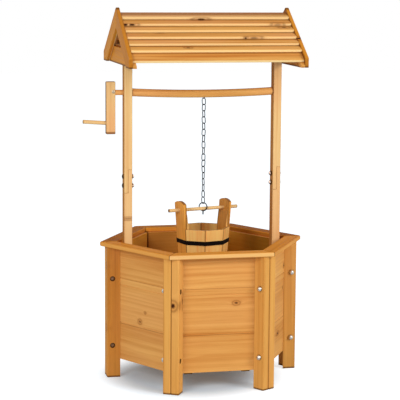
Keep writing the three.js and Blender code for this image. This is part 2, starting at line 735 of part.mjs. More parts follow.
function chain() {
  const links = Array.from({ length: CHAIN_LINKS }, (unused, i) => {
    const link = chainLink();
    link.rotateZ(THREE.MathUtils.degToRad(LINK_YAW) + (i % 2) * (Math.PI / 2));
    link.translate(0, 0, CHAIN_TOP_Z - (LINK_PITCH + LINK_OVERLAP) / 2 - i * LINK_PITCH);
    return link;
  });
  return join(links);
}

// A ring of wire round the bucket's cross bar, with a short pointed tail
function hookRing() {
  const ring = new THREE.TorusGeometry(HOOK_RADIUS, HOOK_WIRE_RADIUS, HOOK_SIDES, HOOK_STEPS);
  ring.rotateX(Math.PI / 2);
  const tail = new THREE.CylinderGeometry(HOOK_WIRE_RADIUS, HOOK_WIRE_RADIUS / 2, HOOK_TAIL, HOOK_SIDES);
  tail.rotateX(Math.PI / 2);
  tail.translate(0, 0, -HOOK_RADIUS - HOOK_TAIL / 2);
  return join([ring, tail]);
}

function hangingChain() {
  const group = new THREE.Group();
  group.position.x = CHAIN_PLACE;
  group.add(named('chain', chain(), STEEL));
  const hook = named('hook_ring', hookRing(), STEEL);
  hook.position.z = HOOK_Z;
  hook.rotation.z = THREE.MathUtils.degToRad(HOOK_YAW);
  group.add(hook);
  return group;
}

// Bucket

// Outside of the staves at a height, from the middle to the flat
function staveApothem(z) {
  return BUCKET_MOUTH_APOTHEM - (BUCKET_RIM_Z - z) * Math.tan(TAPER);
}

// An eight-sided solid of revolution from [apothem, z] points
function eightSided(points) {
  const profile = points.map(([apothem, z]) => new THREE.Vector2(apothem / Math.cos(STAVE_HALF_ANGLE), z));
  const geometry = new THREE.LatheGeometry(profile, STAVE_COUNT, STAVE_HALF_ANGLE);
  geometry.rotateX(Math.PI / 2);
  return geometry;
}

// A closed eight-sided band between two distances from the staves' outer faces
function staveBand(lowZ, highZ, outside, inside) {
  return eightSided([
    [staveApothem(lowZ) + outside, lowZ],
    [staveApothem(highZ) + outside, highZ],
    [staveApothem(highZ) - inside, highZ],
    [staveApothem(lowZ) - inside, lowZ],
    [staveApothem(lowZ) + outside, lowZ],
  ]);
}

// The outline of an ear above the rim, along Y and Z, with a crowned top
function earOutline() {
  const half = EAR_WIDTH / 2;
  const radius = (half * half + EAR_CROWN * EAR_CROWN) / (2 * EAR_CROWN);
  const sweep = Math.asin(half / radius);
  const crown = Array.from({ length: EAR_CROWN_STEPS + 1 }, (unused, i) => {
    const angle = sweep - (2 * sweep * i) / EAR_CROWN_STEPS;
    return [radius * Math.sin(angle), EAR_TOP_Z - radius + radius * Math.cos(angle)];
  });
  return [[-half, BUCKET_RIM_Z - OVERRUN], [half, BUCKET_RIM_Z - OVERRUN], ...crown];
}

function bucketStaves() {
  const shell = staveBand(BUCKET_BOTTOM_Z, EAR_TOP_Z + OVERRUN, 0, STAVE_THICKNESS);
  const reach = CROSS_BAR_LENGTH / 2;
  const body = block([-reach, -reach, BUCKET_BOTTOM_Z - OVERRUN], [reach, reach, BUCKET_RIM_Z]);
  const ears = standOnEdge(prism(earOutline(), 2 * reach, 0));
  ears.translate(-reach, 0, 0);
  const barHole = roundBarX(CROSS_BAR_RADIUS + FIT, -reach, reach, CROSS_BAR_SIDES);
  barHole.translate(0, 0, CROSS_BAR_Z);
  return cut(common(shell, join([body, ears])), [barHole]);
}

function bucketBase() {
  const low = BUCKET_BOTTOM_Z + BUCKET_BASE_RECESS;
  const high = low + BUCKET_BASE_THICKNESS;
  const inset = STAVE_THICKNESS + FIT;
  return eightSided([
    [0, low],
    [staveApothem(low) - inset, low],
    [staveApothem(high) - inset, high],
    [0, high],
  ]);
}

function bucketHoop() {
  const high = BUCKET_RIM_Z - HOOP_BELOW_RIM;
  return staveBand(high - HOOP_HEIGHT, high, FIT + HOOP_THICKNESS, -FIT);
}

function bucketCrossBar() {
  const half = CROSS_BAR_LENGTH / 2;
  const profile = [
    [0, -half],
    [CROSS_BAR_RADIUS - HANDLE_ARRIS, -half],
    [CROSS_BAR_RADIUS, -half + HANDLE_ARRIS],
    [CROSS_BAR_RADIUS, half - HANDLE_ARRIS],
    [CROSS_BAR_RADIUS - HANDLE_ARRIS, half],
    [0, half],
  ].map(([r, y]) => new THREE.Vector2(r, y));
  const bar = new THREE.LatheGeometry(profile, CROSS_BAR_SIDES);
  bar.rotateZ(-Math.PI / 2);
  bar.translate(0, 0, CROSS_BAR_Z);
  return bar;
}

function bucket() {
  const group = new THREE.Group();
  group.position.x = CHAIN_PLACE;
  group.rotation.z = THREE.MathUtils.degToRad(BUCKET_YAW);
  group.add(named('bucket_staves', bucketStaves(), PALE_WOOD));
  group.add(named('bucket_base', bucketBase(), PALE_WOOD));
  group.add(named('bucket_hoop', bucketHoop(), BLACK_BAND));
  group.add(named('bucket_cross_bar', bucketCrossBar(), PALE_WOOD));
  return group;
}

// The whole part, moved so that the origin lies under the middle of its outline
const wishingWell = new THREE.Group();
wishingWell.add(planter(), posts(), roof(), windlass(), hangingChain(), bucket());
const outline = new THREE.Box3().setFromObject(wishingWell, true);
wishingWell.position.x = -(outline.min.x + outline.max.x) / 2;

export default wishingWell;
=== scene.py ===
# %% [markdown]
# The imported solids of the wishing well planter come in first. They are the frame that every
# visual piece is built round, in metres, with +Z up, the front at -Y and the crank at -X. Their
# size is kept.

# %% Load the frame
import math
import random
from functools import partialmethod

import bmesh
import bpy
from mathutils import Matrix, Vector


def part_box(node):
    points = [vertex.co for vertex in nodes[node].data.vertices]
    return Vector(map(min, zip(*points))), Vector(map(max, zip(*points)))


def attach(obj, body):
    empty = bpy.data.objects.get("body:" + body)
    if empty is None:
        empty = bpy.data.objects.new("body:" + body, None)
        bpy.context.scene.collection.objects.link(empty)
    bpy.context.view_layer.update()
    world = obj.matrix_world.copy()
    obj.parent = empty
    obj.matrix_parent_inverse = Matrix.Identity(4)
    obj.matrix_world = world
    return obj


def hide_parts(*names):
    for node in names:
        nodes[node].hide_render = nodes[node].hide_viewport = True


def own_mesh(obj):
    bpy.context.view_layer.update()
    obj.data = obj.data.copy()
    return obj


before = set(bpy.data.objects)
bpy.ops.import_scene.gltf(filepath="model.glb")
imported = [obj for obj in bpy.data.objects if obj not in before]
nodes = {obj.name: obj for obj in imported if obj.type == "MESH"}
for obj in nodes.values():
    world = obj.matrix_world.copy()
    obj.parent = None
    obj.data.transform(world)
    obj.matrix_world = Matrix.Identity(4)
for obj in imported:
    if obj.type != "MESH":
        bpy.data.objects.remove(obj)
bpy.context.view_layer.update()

# %% [markdown]
# A few places are read from the solids, so that new pieces meet them exactly. The planter's axis
# stands right of the origin, because the crank reaches out to the left. Each of the six sides has
# a way out and a way along its wall, and each slope of the roof a way down and a way off its
# face, so that one loop can dress all of them.

# %% Places and directions that the pieces share
MM = 0.001
HALF = 0.5
X, Y, Z = Vector((1, 0, 0)), Vector((0, 1, 0)), Vector((0, 0, 1))
QUARTER = math.radians(90)
CIRCLE = 2 * math.pi


def middle(node):
    low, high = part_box(node)
    return (low + high) * HALF


def turned(angle, radius=1.0, height=0.0):
    """A direction, or a place at a radius and a height, at an angle round +Z."""
    return Vector((radius * math.cos(angle), radius * math.sin(angle), height))


AXIS = Vector((middle("floor").x, 0, 0))
SIDES = ["front", "front_right", "back_right", "back", "back_left", "front_left"]
SIDE_ANGLE = math.radians(60)
FACING = {side: -QUARTER + i * SIDE_ANGLE for i, side in enumerate(SIDES)}
ROOF_SLOPE = math.radians(32)
SLOPES = (("front", -1), ("back", 1))
BAR_ANGLE = math.radians(14.6)
BAR_DIRECTION = turned(BAR_ANGLE)
BAR_MIDDLE = middle("bucket_cross_bar")


def out_of(side):
    return turned(FACING[side])


def along_wall(side):
    return turned(FACING[side] + QUARTER)


def down_slope(sign):
    return Vector((0, sign * math.cos(ROOF_SLOPE), -math.sin(ROOF_SLOPE)))


def off_slope(sign):
    return Vector((0, sign * math.sin(ROOF_SLOPE), math.cos(ROOF_SLOPE)))


def in_scene(obj):
    bpy.context.scene.collection.objects.link(obj)
    return obj


def looking(place, target):
    """The stance of a camera or lamp that stands at a place and looks at another."""
    aim = (target - place).to_track_quat("-Z", "Y")
    return Matrix.Translation(place) @ aim.to_matrix().to_4x4()


print("planter axis at x =", round(AXIS.x, 4))

# %% [markdown]
# The camera stands where the photographer stood: far off, a little to the left and a little above
# the planter's rim. A long lens keeps the posts nearly upright. The small shift puts the object
# where it sits in the frame, and the roll is the photograph's own slight tilt.

# %% Camera
VIEW_AZIMUTH = math.radians(-12.82)
VIEW_HEIGHT = math.radians(8.05)
VIEW_ROLL = math.radians(0.4)
VIEW_DISTANCE = 4.849
VIEW_TARGET = AXIS + Vector((-0.006, 0, 0.565))
SENSOR_WIDTH = 36
LENS = 141.67
VIEW_SHIFT = -0.01985

view_back = turned(VIEW_AZIMUTH - QUARTER, math.cos(VIEW_HEIGHT), math.sin(VIEW_HEIGHT))
camera_data = bpy.data.cameras.new("camera")
camera_data.sensor_width = SENSOR_WIDTH
camera_data.lens = LENS
camera_data.shift_y = VIEW_SHIFT
camera = in_scene(bpy.data.objects.new("camera", camera_data))
stance = looking(VIEW_TARGET + view_back * VIEW_DISTANCE, VIEW_TARGET)
camera.matrix_world = stance @ Matrix.Rotation(VIEW_ROLL, 4, "Z")
bpy.context.scene.camera = camera
print("camera at", [round(v, 3) for v in camera.matrix_world.translation])

# %% [markdown]
# A finish is a small program made of nodes. Three helpers keep it readable. A Value wraps one
# socket, so that sums written in Python become Math nodes. A NodeBench holds the nodes of a
# material or of the world, and its add() makes any node from its type, its settings and what goes
# into its sockets. A Finish is the bench of one material.

# %% Shader helpers


def linear(red, green, blue):
    """A colour given from 0 to 255 as on a screen, turned into the light values of a shader."""
    def one(v):
        v /= 255
        return v / 12.92 if v <= 0.04045 else ((v + 0.055) / 1.055) ** 2.4
    return (one(red), one(green), one(blue), 1.0)


class Value:
    """One output socket, with operators that add Math nodes."""

    def __init__(self, bench, socket):
        self.bench, self.socket = bench, socket

    def math(self, operation, *others, swapped=False):
        inputs = (*others, self) if swapped else (self, *others)
        return self.bench.add("ShaderNodeMath", {"operation": operation}, dict(enumerate(inputs)))

    __add__ = __radd__ = partialmethod(math, "ADD")
    __mul__ = __rmul__ = partialmethod(math, "MULTIPLY")
    __sub__ = partialmethod(math, "SUBTRACT")
    __rsub__ = partialmethod(math, "SUBTRACT", swapped=True)
    __truediv__ = partialmethod(math, "DIVIDE")
    __rtruediv__ = partialmethod(math, "DIVIDE", swapped=True)

    def smooth(self, start, end):
        """0 up to start, 1 from end on, and a soft step between."""
        sockets = {"Value": self, "From Min": start, "From Max": end}
        return self.bench.add("ShaderNodeMapRange", {"interpolation_type": "SMOOTHSTEP"}, sockets)


class NodeBench:
    """The nodes of a material or a world, added one by one."""

    def __init__(self, owner):
        owner.use_nodes = True
        self.tree = owner.node_tree

    def put(self, socket, value):
        if isinstance(value, Value):
            self.tree.links.new(value.socket, socket)
        else:
            socket.default_value = value

    def add(self, kind, settings=None, sockets=None, output=0):
        node = self.tree.nodes.new(kind)
        for key, value in (settings or {}).items():
            setattr(node, key, value)
        for key, value in (sockets or {}).items():
            self.put(node.inputs[key], value)
        return Value(self, node.outputs[output])

    def vector(self, operation, first, second=(0, 0, 0), output=0):
        return self.add("ShaderNodeVectorMath", {"operation": operation}, {0: first, 1: second}, output)

    def along(self, vector, direction):
        """How far a vector reaches in a fixed direction."""
        return self.vector("DOT_PRODUCT", vector, tuple(direction), "Value")

    def mix(self, factor, first, second):
        sockets = {"Factor": factor, 6: first, 7: second}
        return self.add("ShaderNodeMix", {"data_type": "RGBA"}, sockets, 2)

    def point(self, x, y, z):
        return self.add("ShaderNodeCombineXYZ", None, {0: x, 1: y, 2: z})

    def noise(self, place, detail=2.0, scale=1.0):
        return self.add("ShaderNodeTexNoise", None, {"Vector": place, "Scale": scale, "Detail": detail})


class Finish(NodeBench):
    """The nodes of one material."""

    def __init__(self, name):
        self.material = bpy.data.materials.new(name)
        super().__init__(self.material)
        self.surface = self.tree.nodes["Principled BSDF"]

    def set(self, **sockets):
        for key, value in sockets.items():
            self.put(self.surface.inputs[key.replace("_", " ")], value)


def shown_with(obj, finish):
    obj.data.materials.clear()
    obj.data.materials.append(finish.material)


print("shader helpers ready")

# %% [markdown]
# Every board is stained pine, but planks and slats are honey coloured, the rim is redder, and the
# posts and the crank are nearly straw. A pair is a board's light and dark tone. The single
# colours are for marks: painted highlights, sawn ends, gaps and painted shade.

# %% Colours of the wood
AMBER = (linear(237, 173, 88), linear(192, 118, 44))
PLANK = (linear(240, 177, 98), linear(192, 116, 44))
RIM = (linear(236, 157, 60), linear(186, 102, 24))
TAN = (linear(222, 146, 62), linear(174, 104, 38))
SLAT = (linear(246, 184, 98), linear(196, 116, 44))
DEEP = (linear(226, 148, 46), linear(178, 102, 20))
STRAW = (linear(242, 202, 140), linear(214, 156, 90))
CREAM = (linear(255, 210, 122), linear(246, 160, 78))
GOLD = (linear(244, 184, 104), linear(204, 122, 46))
EAR = (linear(246, 172, 76), linear(196, 122, 42))
# Painted highlight, for edges and faces that catch the light.
PAINTED_HIGHLIGHT = linear(255, 222, 156)
PEACH = linear(232, 158, 104)
# Tints for the painted light and shade on the walls' inner faces.
SUNNY_OCHRE = linear(244, 166, 0)
PALE_OCHRE = linear(225, 160, 0)
OCHRE = linear(200, 146, 0)
DARK_OCHRE = linear(170, 100, 0)
# Painted shade for the rims' tops.
RUSSET = linear(144, 76, 8)
UMBER = linear(172, 102, 18)
# Painted shade for inner faces.
PAINTED_INNER_SHADE = linear(108, 60, 0)
BROWN = linear(110, 58, 18)
SHADE = linear(72, 34, 8)
# Painted shade, nearly black.
PAINTED_BLACK_SHADE = linear(26, 10, 2)
KNOT_BROWN = linear(62, 26, 8)
KNOT_RIM = linear(176, 100, 40)
print("wood colours ready")

# %% [markdown]
# A mark is where another colour lies over the wood's own: a painted highlight on an edge or a face
# that catches the light, painted shade where shade falls, a sawn end that drank more stain, a dark
# seam. A painted picture would need a flat layout for each board. A function of the place and of
# the way the face looks stays sharp and fits any board.

# %% Marks on a board


def towards(direction, start=0.7, end=0.95):
    """A mark on the faces that look in a direction."""
    return lambda finish, place, normal: finish.along(normal, direction).smooth(start, end)


def beyond(direction, start, end):
    """A mark that grows with the reach in a direction, from nothing at start to all at end."""
    return lambda finish, place, normal: finish.along(place, direction).smooth(start, end)


def near_end(direction, end, start, full):
    """A mark by the end of a board. It begins start millimetres before the end, and from full
    millimetres before the end on it is whole."""
    return beyond(direction, end - start * MM, end - full * MM)


def both(first, second):
    """A mark only where two marks meet."""
    return lambda finish, place, normal: first(finish, place, normal) * second(finish, place, normal)


def within(centre, direction, radius, fade):
    """A mark round an axis, such as the inside of a drilled hole."""
    def mark(finish, place, normal):
        offset = finish.vector("SUBTRACT", place, tuple(centre))
        across = finish.vector("CROSS_PRODUCT", offset, tuple(direction))
        return finish.vector("LENGTH", across, output="Value").smooth(radius + fade, radius)
    return mark


print("marks ready")

# %% [markdown]
# A knot is where a branch grew through the board. Its heart is dark, a thin collar runs round it,
# the wood near it is redder, and the rings bend round it. All of that follows from the distance
# from the knot's middle in knot radii, made ragged by fine noise. Each effect is none at its
# first distance and whole at its second.

# %% Knots
KNOT_HEART = (1.1, 0.4)
KNOT_HALO = (3.6, 0.8)
COLLAR_OUTSIDE = (2.5, 1.9)
COLLAR_INSIDE = (1.3, 1.7)
KNOT_PUSH = (6.0, 0.5)
PUSH_DEPTH = 1.8
KNOT_DEPTH = 3
RAGGED_DENSITY = 260.0
RAGGED = 0.7


def knot_field(finish, knots, place, directions):
    """How strong the hearts, halos and collars are, and how far the rings are pushed aside."""
    heart, halo, collar, push = 0.0, 0.0, 0.0, 0.0
    for centre, radius, length, depth in knots:
        sizes = (length, radius, radius * KNOT_DEPTH)
        du, dv, dn = [(p - centre.dot(d)) / s for p, d, s in zip(place, directions, sizes)]
        ragged = finish.noise(finish.point(*[p * RAGGED_DENSITY for p in place])) * RAGGED
        reach = (du * du + dv * dv + dn * dn).math("SQRT") + ragged - RAGGED * HALF
        heart = (reach.smooth(*KNOT_HEART) * depth).math("MAXIMUM", heart)
        halo = reach.smooth(*KNOT_HALO).math("MAXIMUM", halo)
        ring = reach.smooth(*COLLAR_OUTSIDE) * reach.smooth(*COLLAR_INSIDE)
        collar = ring.math("MAXIMUM", collar)
        push = reach.smooth(*KNOT_PUSH) * (radius * PUSH_DEPTH) + push
    return heart, halo, collar, push


print("knots ready")

# %% [markdown]
# Pine shows the tree it was sawn from. Every board's finish is a solid pattern: rings round a
# pith line that runs along the board behind its face, bent by slow noise, so flat faces get
# arches, edges close lines and sawn ends arcs. Fine fibres, long stain streaks and a tone for
# each board come on top. The finish's name seeds its random numbers, so each board differs and is
# the same at every run.

# %% Wood finish
RING_SPACING = 12 * MM
# Cells of noise to a metre, along the board and across it.
SLOW, SWAY, BROAD = (1.6, 3.0), (4.0, 12.0), (0.8, 15.0)
STREAK, FIBRE, PATCH = (1.3, 90.0), (14.0, 620.0), (3.0, 9.0)
SWAY_AWAY, PATCH_AWAY = 7 / 12, 11 / 3
SLOW_BEND, SWAY_BEND = 0.03, 0.01
PITH_ASIDE, PITH_BEHIND = (0.03, 0.08), (0.01, 0.03)
UNEVEN_ALONG, UNEVEN_ACROSS, UNEVEN_SLICE, UNEVEN_DEPTH = 2.0, 40.0, 3.0, 2.0
RING_DARK, BROAD_DARK, FIBRE_DARK, BASE_DARK = 0.16, 0.42, 0.36, 0.02
TONE_SPREAD, BOARD_REACH = 0.05, 40
END_DARK, HALO_DARK, COLLAR_DARK = 0.55, 0.4, 0.35
RELIEF, RELIEF_DEPTH = 0.25, 0.5 * MM


def drawn_out(finish, cells, u, v, n, detail=2.0):
    """Noise whose cells are long in the way of the grain."""
    along, across = cells
    return finish.noise(finish.point(u * along, v * across, n * across), detail)


def wood(name, colours, grain, across, knots=(), figure=1.0, tone=0.0, blush=0.12, streaks=0.35,
         marks=(), shine=0.06):
    """A stained pine finish. Knots are (place, radius across, radius along, darkness of the
    heart) in metres. Marks are (what it covers, strength, colour) and lie over the figure."""
    rng = random.Random(name)
    finish = Finish(name)
    grain, across = grain.normalized(), across.normalized()
    directions = (grain, across, grain.cross(across))
    place = finish.add("ShaderNodeTexCoord", output="Object")
    u, v, n = [finish.along(place, direction) for direction in directions]
    board_tone = tone + rng.uniform(-TONE_SPREAD, TONE_SPREAD)
    far = u + rng.uniform(0, BOARD_REACH)

    slow = drawn_out(finish, SLOW, far, v, n)
    sway = drawn_out(finish, SWAY, far, v + SWAY_AWAY, n)
    pith_v = rng.uniform(*PITH_ASIDE) * rng.choice((-1, 1))
    pith_n = rng.uniform(*PITH_BEHIND)
    if knots:
        pith_v -= knots[0][0].dot(directions[1])
        pith_n -= knots[0][0].dot(directions[2])
    from_v = v + (slow - HALF) * SLOW_BEND + pith_v
    from_n = n + (sway - HALF) * SWAY_BEND + pith_n
    heart, halo, collar, push = knot_field(finish, knots, (u, v, n), directions)
    from_pith = (from_v * from_v + from_n * from_n).math("SQRT") + push
    uneven = finish.noise(finish.point(far * UNEVEN_ALONG, from_pith * UNEVEN_ACROSS, UNEVEN_SLICE))
    ring = (from_pith / RING_SPACING + uneven * UNEVEN_DEPTH).math("FRACT")
    late = ring.smooth(0.0, 0.85) * ring.smooth(1.0, 0.9)
    broad = drawn_out(finish, BROAD, far, v, n).smooth(0.3, 0.7)
    streak = drawn_out(finish, STREAK, far, v, n, detail=3.0).smooth(0.42, 0.72)
    fibre = drawn_out(finish, FIBRE, far, v, n, detail=1.0)
    patch = drawn_out(finish, PATCH, far + PATCH_AWAY, v, n).smooth(0.42, 0.66)

    amount = late * (RING_DARK * figure) + broad * BROAD_DARK + streak * streaks
    amount = amount + (fibre - HALF) * FIBRE_DARK + (BASE_DARK + board_tone)
    light, dark = colours
    colour = finish.mix(amount.math("MAXIMUM", 0.0).math("MINIMUM", 1.0), light, dark)
    colour = finish.mix(patch * blush, colour, PEACH)
    normal = finish.add("ShaderNodeTexCoord", output="Normal")
    sawn_end = finish.along(normal, grain).math("ABSOLUTE").smooth(0.7, 0.95)
    colour = finish.mix(sawn_end * END_DARK, colour, BROWN)
    for covers, strength, mark_colour in marks:
        colour = finish.mix(covers(finish, place, normal) * strength, colour, mark_colour)
    if knots:
        colour = finish.mix(halo * HALO_DARK, colour, KNOT_RIM)
        colour = finish.mix(collar * COLLAR_DARK, colour, BROWN)
        colour = finish.mix(heart, colour, KNOT_BROWN)
    relief = {"Strength": RELIEF, "Distance": RELIEF_DEPTH, "Height": late * 0.4 + fibre * 0.6 - heart}
    bump = finish.add("ShaderNodeBump", None, relief)
    finish.set(Base_Color=colour, Roughness=late * -0.08 + fibre * 0.12 + 0.5, Normal=bump,
               Specular_IOR_Level=shine)
    return finish


print("wood finish ready")

# %% [markdown]
# Boards that are one solid keep it. A Weld closes the loose triangles and a small Bevel rounds
# every arris, as sanding does, so that edges catch a line of light. The knots stand in one list,
# where the photograph shows them, in millimetres from the planter's axis.

# %% Boards that keep their solid
ARRIS = 0.7 * MM
TOUCHING = 0.01 * MM
PLANK_EDGES = (57 * MM, 170 * MM, 309.5 * MM, 406.5 * MM)
LEG_FACE = 24.65 * MM


def eased(obj, width=ARRIS):
    """Rounds the sharp edges of a board, as sandpaper does."""
    weld = obj.modifiers.new("weld", "WELD")
    weld.merge_threshold = TOUCHING
    bevel = obj.modifiers.new("sanded", "BEVEL")
    bevel.width = width
    bevel.segments = 2
    bevel.limit_method = "ANGLE"
    bevel.angle_limit = math.radians(25)
    return obj


def dressed(name, finish):
    eased(nodes[name])
    shown_with(nodes[name], finish)


def stained(name, *colours_and_ways, **looks):
    """Gives a solid that is one board its own wood finish."""
    dressed(name, wood(name, *colours_and_ways, **looks))


# The place x, y, z, the size across and along the grain, and how dark the heart is.
KNOTS = {
    "front_left_leg_left": [(-305, 0, 348, 4, 6, 1), (-305, 0, 154, 4, 6, 1)],
    "front_wall": [(53, -236, 264, 4, 6.5, 0.8)],
    "front_left_wall": [(-213, -104, 189, 4.5, 5, 0.7), (-201, -125, 220, 2.6, 3, 0.6)],
    "front_right_wall": [(224, -85, 129, 4, 9, 1), (257, -27, 331, 4, 5, 1),
                         (252, -37, 264, 2.6, 3, 1)],
    "front_leg_left": [(-145, -262, 268, 4.6, 9, 1), (-113, -245, 277, 3, 14, 1)],
    "front_slat_7": [(-17, -43.5, 1095, 1.5, 15, 1.1)],
    "front_slat_6": [(-18, -49, 1093, 2.4, 15, 1), (-253, -75, 1081, 2.0, 9, 1),
                     (-232, -75, 1081, 1.8, 11, 1), (214, -74, 1079, 4.5, 11, 0.3)],
    "front_slat_5": [(231, -84, 1071, 4.5, 10, 0.8), (176, -70, 1078, 4, 8, 0.4)],
    "front_slat_4": [(125, -133, 1042, 3.6, 14, 0.5), (100, -133, 1042, 3, 4, 0.8),
                     (-157, -101, 1058, 4, 9, 0.6)],
    "front_slat_2": [(-84, -174, 1017, 4.5, 7, 0.8)],
    "right_barge_front": [(262, -141, 1042, 4, 5, 1)],
    "left_post_lower": [(-234, -17, 491, 6, 3, 0.35)],
    "front_left_leg_right": [(-236, -230, 200, 2.5, 5, 1)],
    "back_wall": [(-40, 221, 330, 4, 5, 1), (60, 237, 150, 4, 6, 1)],
    "back_right_wall": [(215, 100, 215, 4, 5, 1)],
    "back_slat_3": [(-60, 128, 1048, 3.5, 8, 1)],
    "back_slat_5": [(140, 70, 1082, 3.5, 8, 1)],
}


def knots_of(name):
    return [(AXIS + Vector((x, y, z)) * MM, across * MM, along * MM, heart)
            for x, y, z, across, along, heart in KNOTS.get(name, ())]


print("knots on", len(KNOTS), "boards")

# %% [markdown]
# The rim boards are mitred, so each shows a dark line at both ends, on the plane that halves the
# corner. Their outer faces carry a painted highlight, strongest on the front, and the tops of the
# three back rims carry painted shade. Of the two leg boards at a corner, one is plain and the
# other is bored for a nut and comes later. A dark seam marks where they meet, and the feet are
# darker towards the bottom.

# %% Rim and plain leg boards
MITRE_LINE = (2.2, 0.8)
SEAM_LINE = (1.8, 0.6)
SEAM_DARK = 0.6
FOOT_MARK = (near_end(-Z, 0, 7, 3), 0.75, SHADE)
# Strengths of the painted highlight on the rims' outer faces and of the painted shade on their tops.
RIM_HIGHLIGHTS = {"front": 0.4}
OTHER_RIM_HIGHLIGHT = 0.12
RIM_TOP_SHADES = {"back": 0.55, "back_left": 0.65, "back_right": 0.75}
LOW_SHINE = 0.01
LEG_FIGURE = 0.8


def seam_mark(corner, way):
    """The dark line where the two leg boards of a corner meet."""
    tangent = turned(corner + QUARTER) * way
    return near_end(tangent, AXIS.dot(tangent), *SEAM_LINE), SEAM_DARK, BROWN


for side in SIDES:
    out = out_of(side)
    marks = [(towards(out), RIM_HIGHLIGHTS.get(side, OTHER_RIM_HIGHLIGHT), PAINTED_HIGHLIGHT),
             (towards(Z), RIM_TOP_SHADES.get(side, 0.0), RUSSET)]
    # Painted shade on the back right rim's inner face.
    if side == "back_right":
        marks.append((towards(-out), 0.45, PAINTED_INNER_SHADE))
    for way in (-1, 1):
        mitre = turned(FACING[side] + way * (SIDE_ANGLE / 2 + QUARTER))
        marks.append((near_end(mitre, AXIS.dot(mitre), *MITRE_LINE), SEAM_DARK, BROWN))
    name = f"{side}_rim"
    stained(name, RIM, along_wall(side), out, figure=0.7, tone=-0.03, marks=marks, shine=LOW_SHINE)
    name = f"{side}_leg_right"
    marks = [FOOT_MARK, seam_mark(FACING[side] + SIDE_ANGLE / 2, 1)]
    stained(name, AMBER, Z, out, knots_of(name), figure=LEG_FIGURE, marks=marks)
print("dressed the rim and", len(SIDES), "leg boards")

# %% [markdown]
# The posts and the crank's arm are the palest wood. A post's sides are darker than its front, and
# it has almost no shine, because at a grazing angle a shiny side would mirror the pale
# surroundings and look blue.

# %% Posts and crank arm
POST_TONES = {"left": 0.0, "right": -0.12}
for side in ("left", "right"):
    for part in ("lower", "upper"):
        name = f"{side}_post_{part}"
        marks = [(towards(-X), 0.8, UMBER), (towards(X), 0.5, UMBER)]
        stained(name, STRAW, Z, Y, knots_of(name), figure=0.6, blush=0.35, tone=POST_TONES[side],
                marks=marks, shine=LOW_SHINE)
low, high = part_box("crank_arm")
marks = [(towards(-X), 0.85, BROWN), (near_end(-Z, -low.z, 9, 5), 0.75, BROWN),
         (near_end(Z, high.z, 3, 0), 0.5, BROWN)]
stained("crank_arm", STRAW, Z, X, figure=0.8, tone=0.1, blush=0.5, marks=marks)
print("dressed the posts and the crank's arm")

# %% [markdown]
# The roof has two slopes of seven slats between barge boards. A slat's lower edge carries a
# painted highlight, and by the next slat's edge its face carries painted shade from that slat. How
# far down the slope each slat reaches is measured on its solid, so the painted shade falls where it
# should. The top slat is darker along the ridge and has a painted highlight on its lower part. The
# barges are dark at both ends, with painted shade on their inner faces and a painted highlight
# along their lower inner arris.

# %% Roof boards
SLATS = 7
EAVES_SHADE = 0.2
SLAT_SHADE = 0.6
for place, sign in SLOPES:
    down, out = down_slope(sign), off_slope(sign)
    for side, inner in (("left", X), ("right", -X)):
        name = f"{side}_barge_{place}"
        low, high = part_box(name)
        reach = high.x if side == "left" else -low.x
        # Painted highlight along the barge's lower inner arris.
        arris = both(towards(-out), near_end(inner, reach, 3.5, 1.5))
        # Painted shade on the inner face; the top and bottom ends are darker.
        marks = [(towards(inner), 0.6, BROWN), (near_end(Z, high.z, 9, 4), 0.7, SHADE),
                 (near_end(-Z, -low.z, 7, 2), 0.75, SHADE), (arris, 0.7, PAINTED_HIGHLIGHT)]
        stained(name, DEEP, down, out, knots_of(name), blush=0.0, marks=marks)
    slats = range(1, SLATS + 1)
    tails = {i: max(v.co.dot(down) for v in nodes[f"{place}_slat_{i}"].data.vertices) for i in slats}
    for i in slats:
        name = f"{place}_slat_{i}"
        # Painted highlight on the slat's lower edge.
        marks = [(towards(down), 0.8, PAINTED_HIGHLIGHT)]
        if i < SLATS:
            # Painted shade where the next slat's edge overhangs.
            strength = SLAT_SHADE if i > 1 else EAVES_SHADE
            marks.append((near_end(-down, -tails[i + 1], 8, 1.5), strength, SHADE))
        else:
            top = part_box(name)[1].z
            marks.append((near_end(Z, top, 9, 6), 0.5, BROWN))
            # Painted highlight on the lower part of the top slat.
            marks.append((beyond(-Z, 8 * MM - top, 12 * MM - top), 0.45, PAINTED_HIGHLIGHT))
        stained(name, SLAT, X, down, knots_of(name), blush=0.4, streaks=0.6, marks=marks)
print("dressed", sum(1 for n in nodes.values() if n.modifiers), "boards so far")

# %% [markdown]
# A new piece starts as a bmesh and becomes an object in one place: it gets its finish in a
# material slot and the CAD body that it moves with. Where it shows a solid better than the solid
# does, it stands for it.

# %% From bmesh to piece


def object_from(name, mesh):
    """A new object in the scene from a bmesh, which is used up."""
    data = bpy.data.meshes.new(name)
    mesh.to_mesh(data)
    mesh.free()
    return in_scene(bpy.data.objects.new(name, data))


def new_piece(name, mesh, body, finish, replaces=(), smooth=False):
    bmesh.ops.recalc_face_normals(mesh, faces=mesh.faces)
    for face in mesh.faces:
        face.smooth = smooth
    obj = object_from(name, mesh)
    shown_with(obj, finish)
    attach(obj, body)
    if replaces:
        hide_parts(*replaces)
    return obj


def board(name, mesh, finish, replaces=(), body="frame", arris=ARRIS):
    return eased(new_piece(name, mesh, body, finish, replaces), arris)


def only(kind, geometry):
    return [g for g in geometry if isinstance(g, kind)]


print("pieces can be made")

# %% [markdown]
# Some solids hold several real boards. Each board is sawn out of a copy of the solid: planes cut
# the copy, what lies outside is thrown away and the cut is closed. The boards then sit exactly
# where the solid is, and each gets its own grain. The walls come first, three planks each, with
# painted light and shade on their inner faces: ochre tints, and on the back right wall painted
# shade that deepens towards its far end.

# %% Planks sawn out of the walls
SAW_GAP = 0.2 * MM


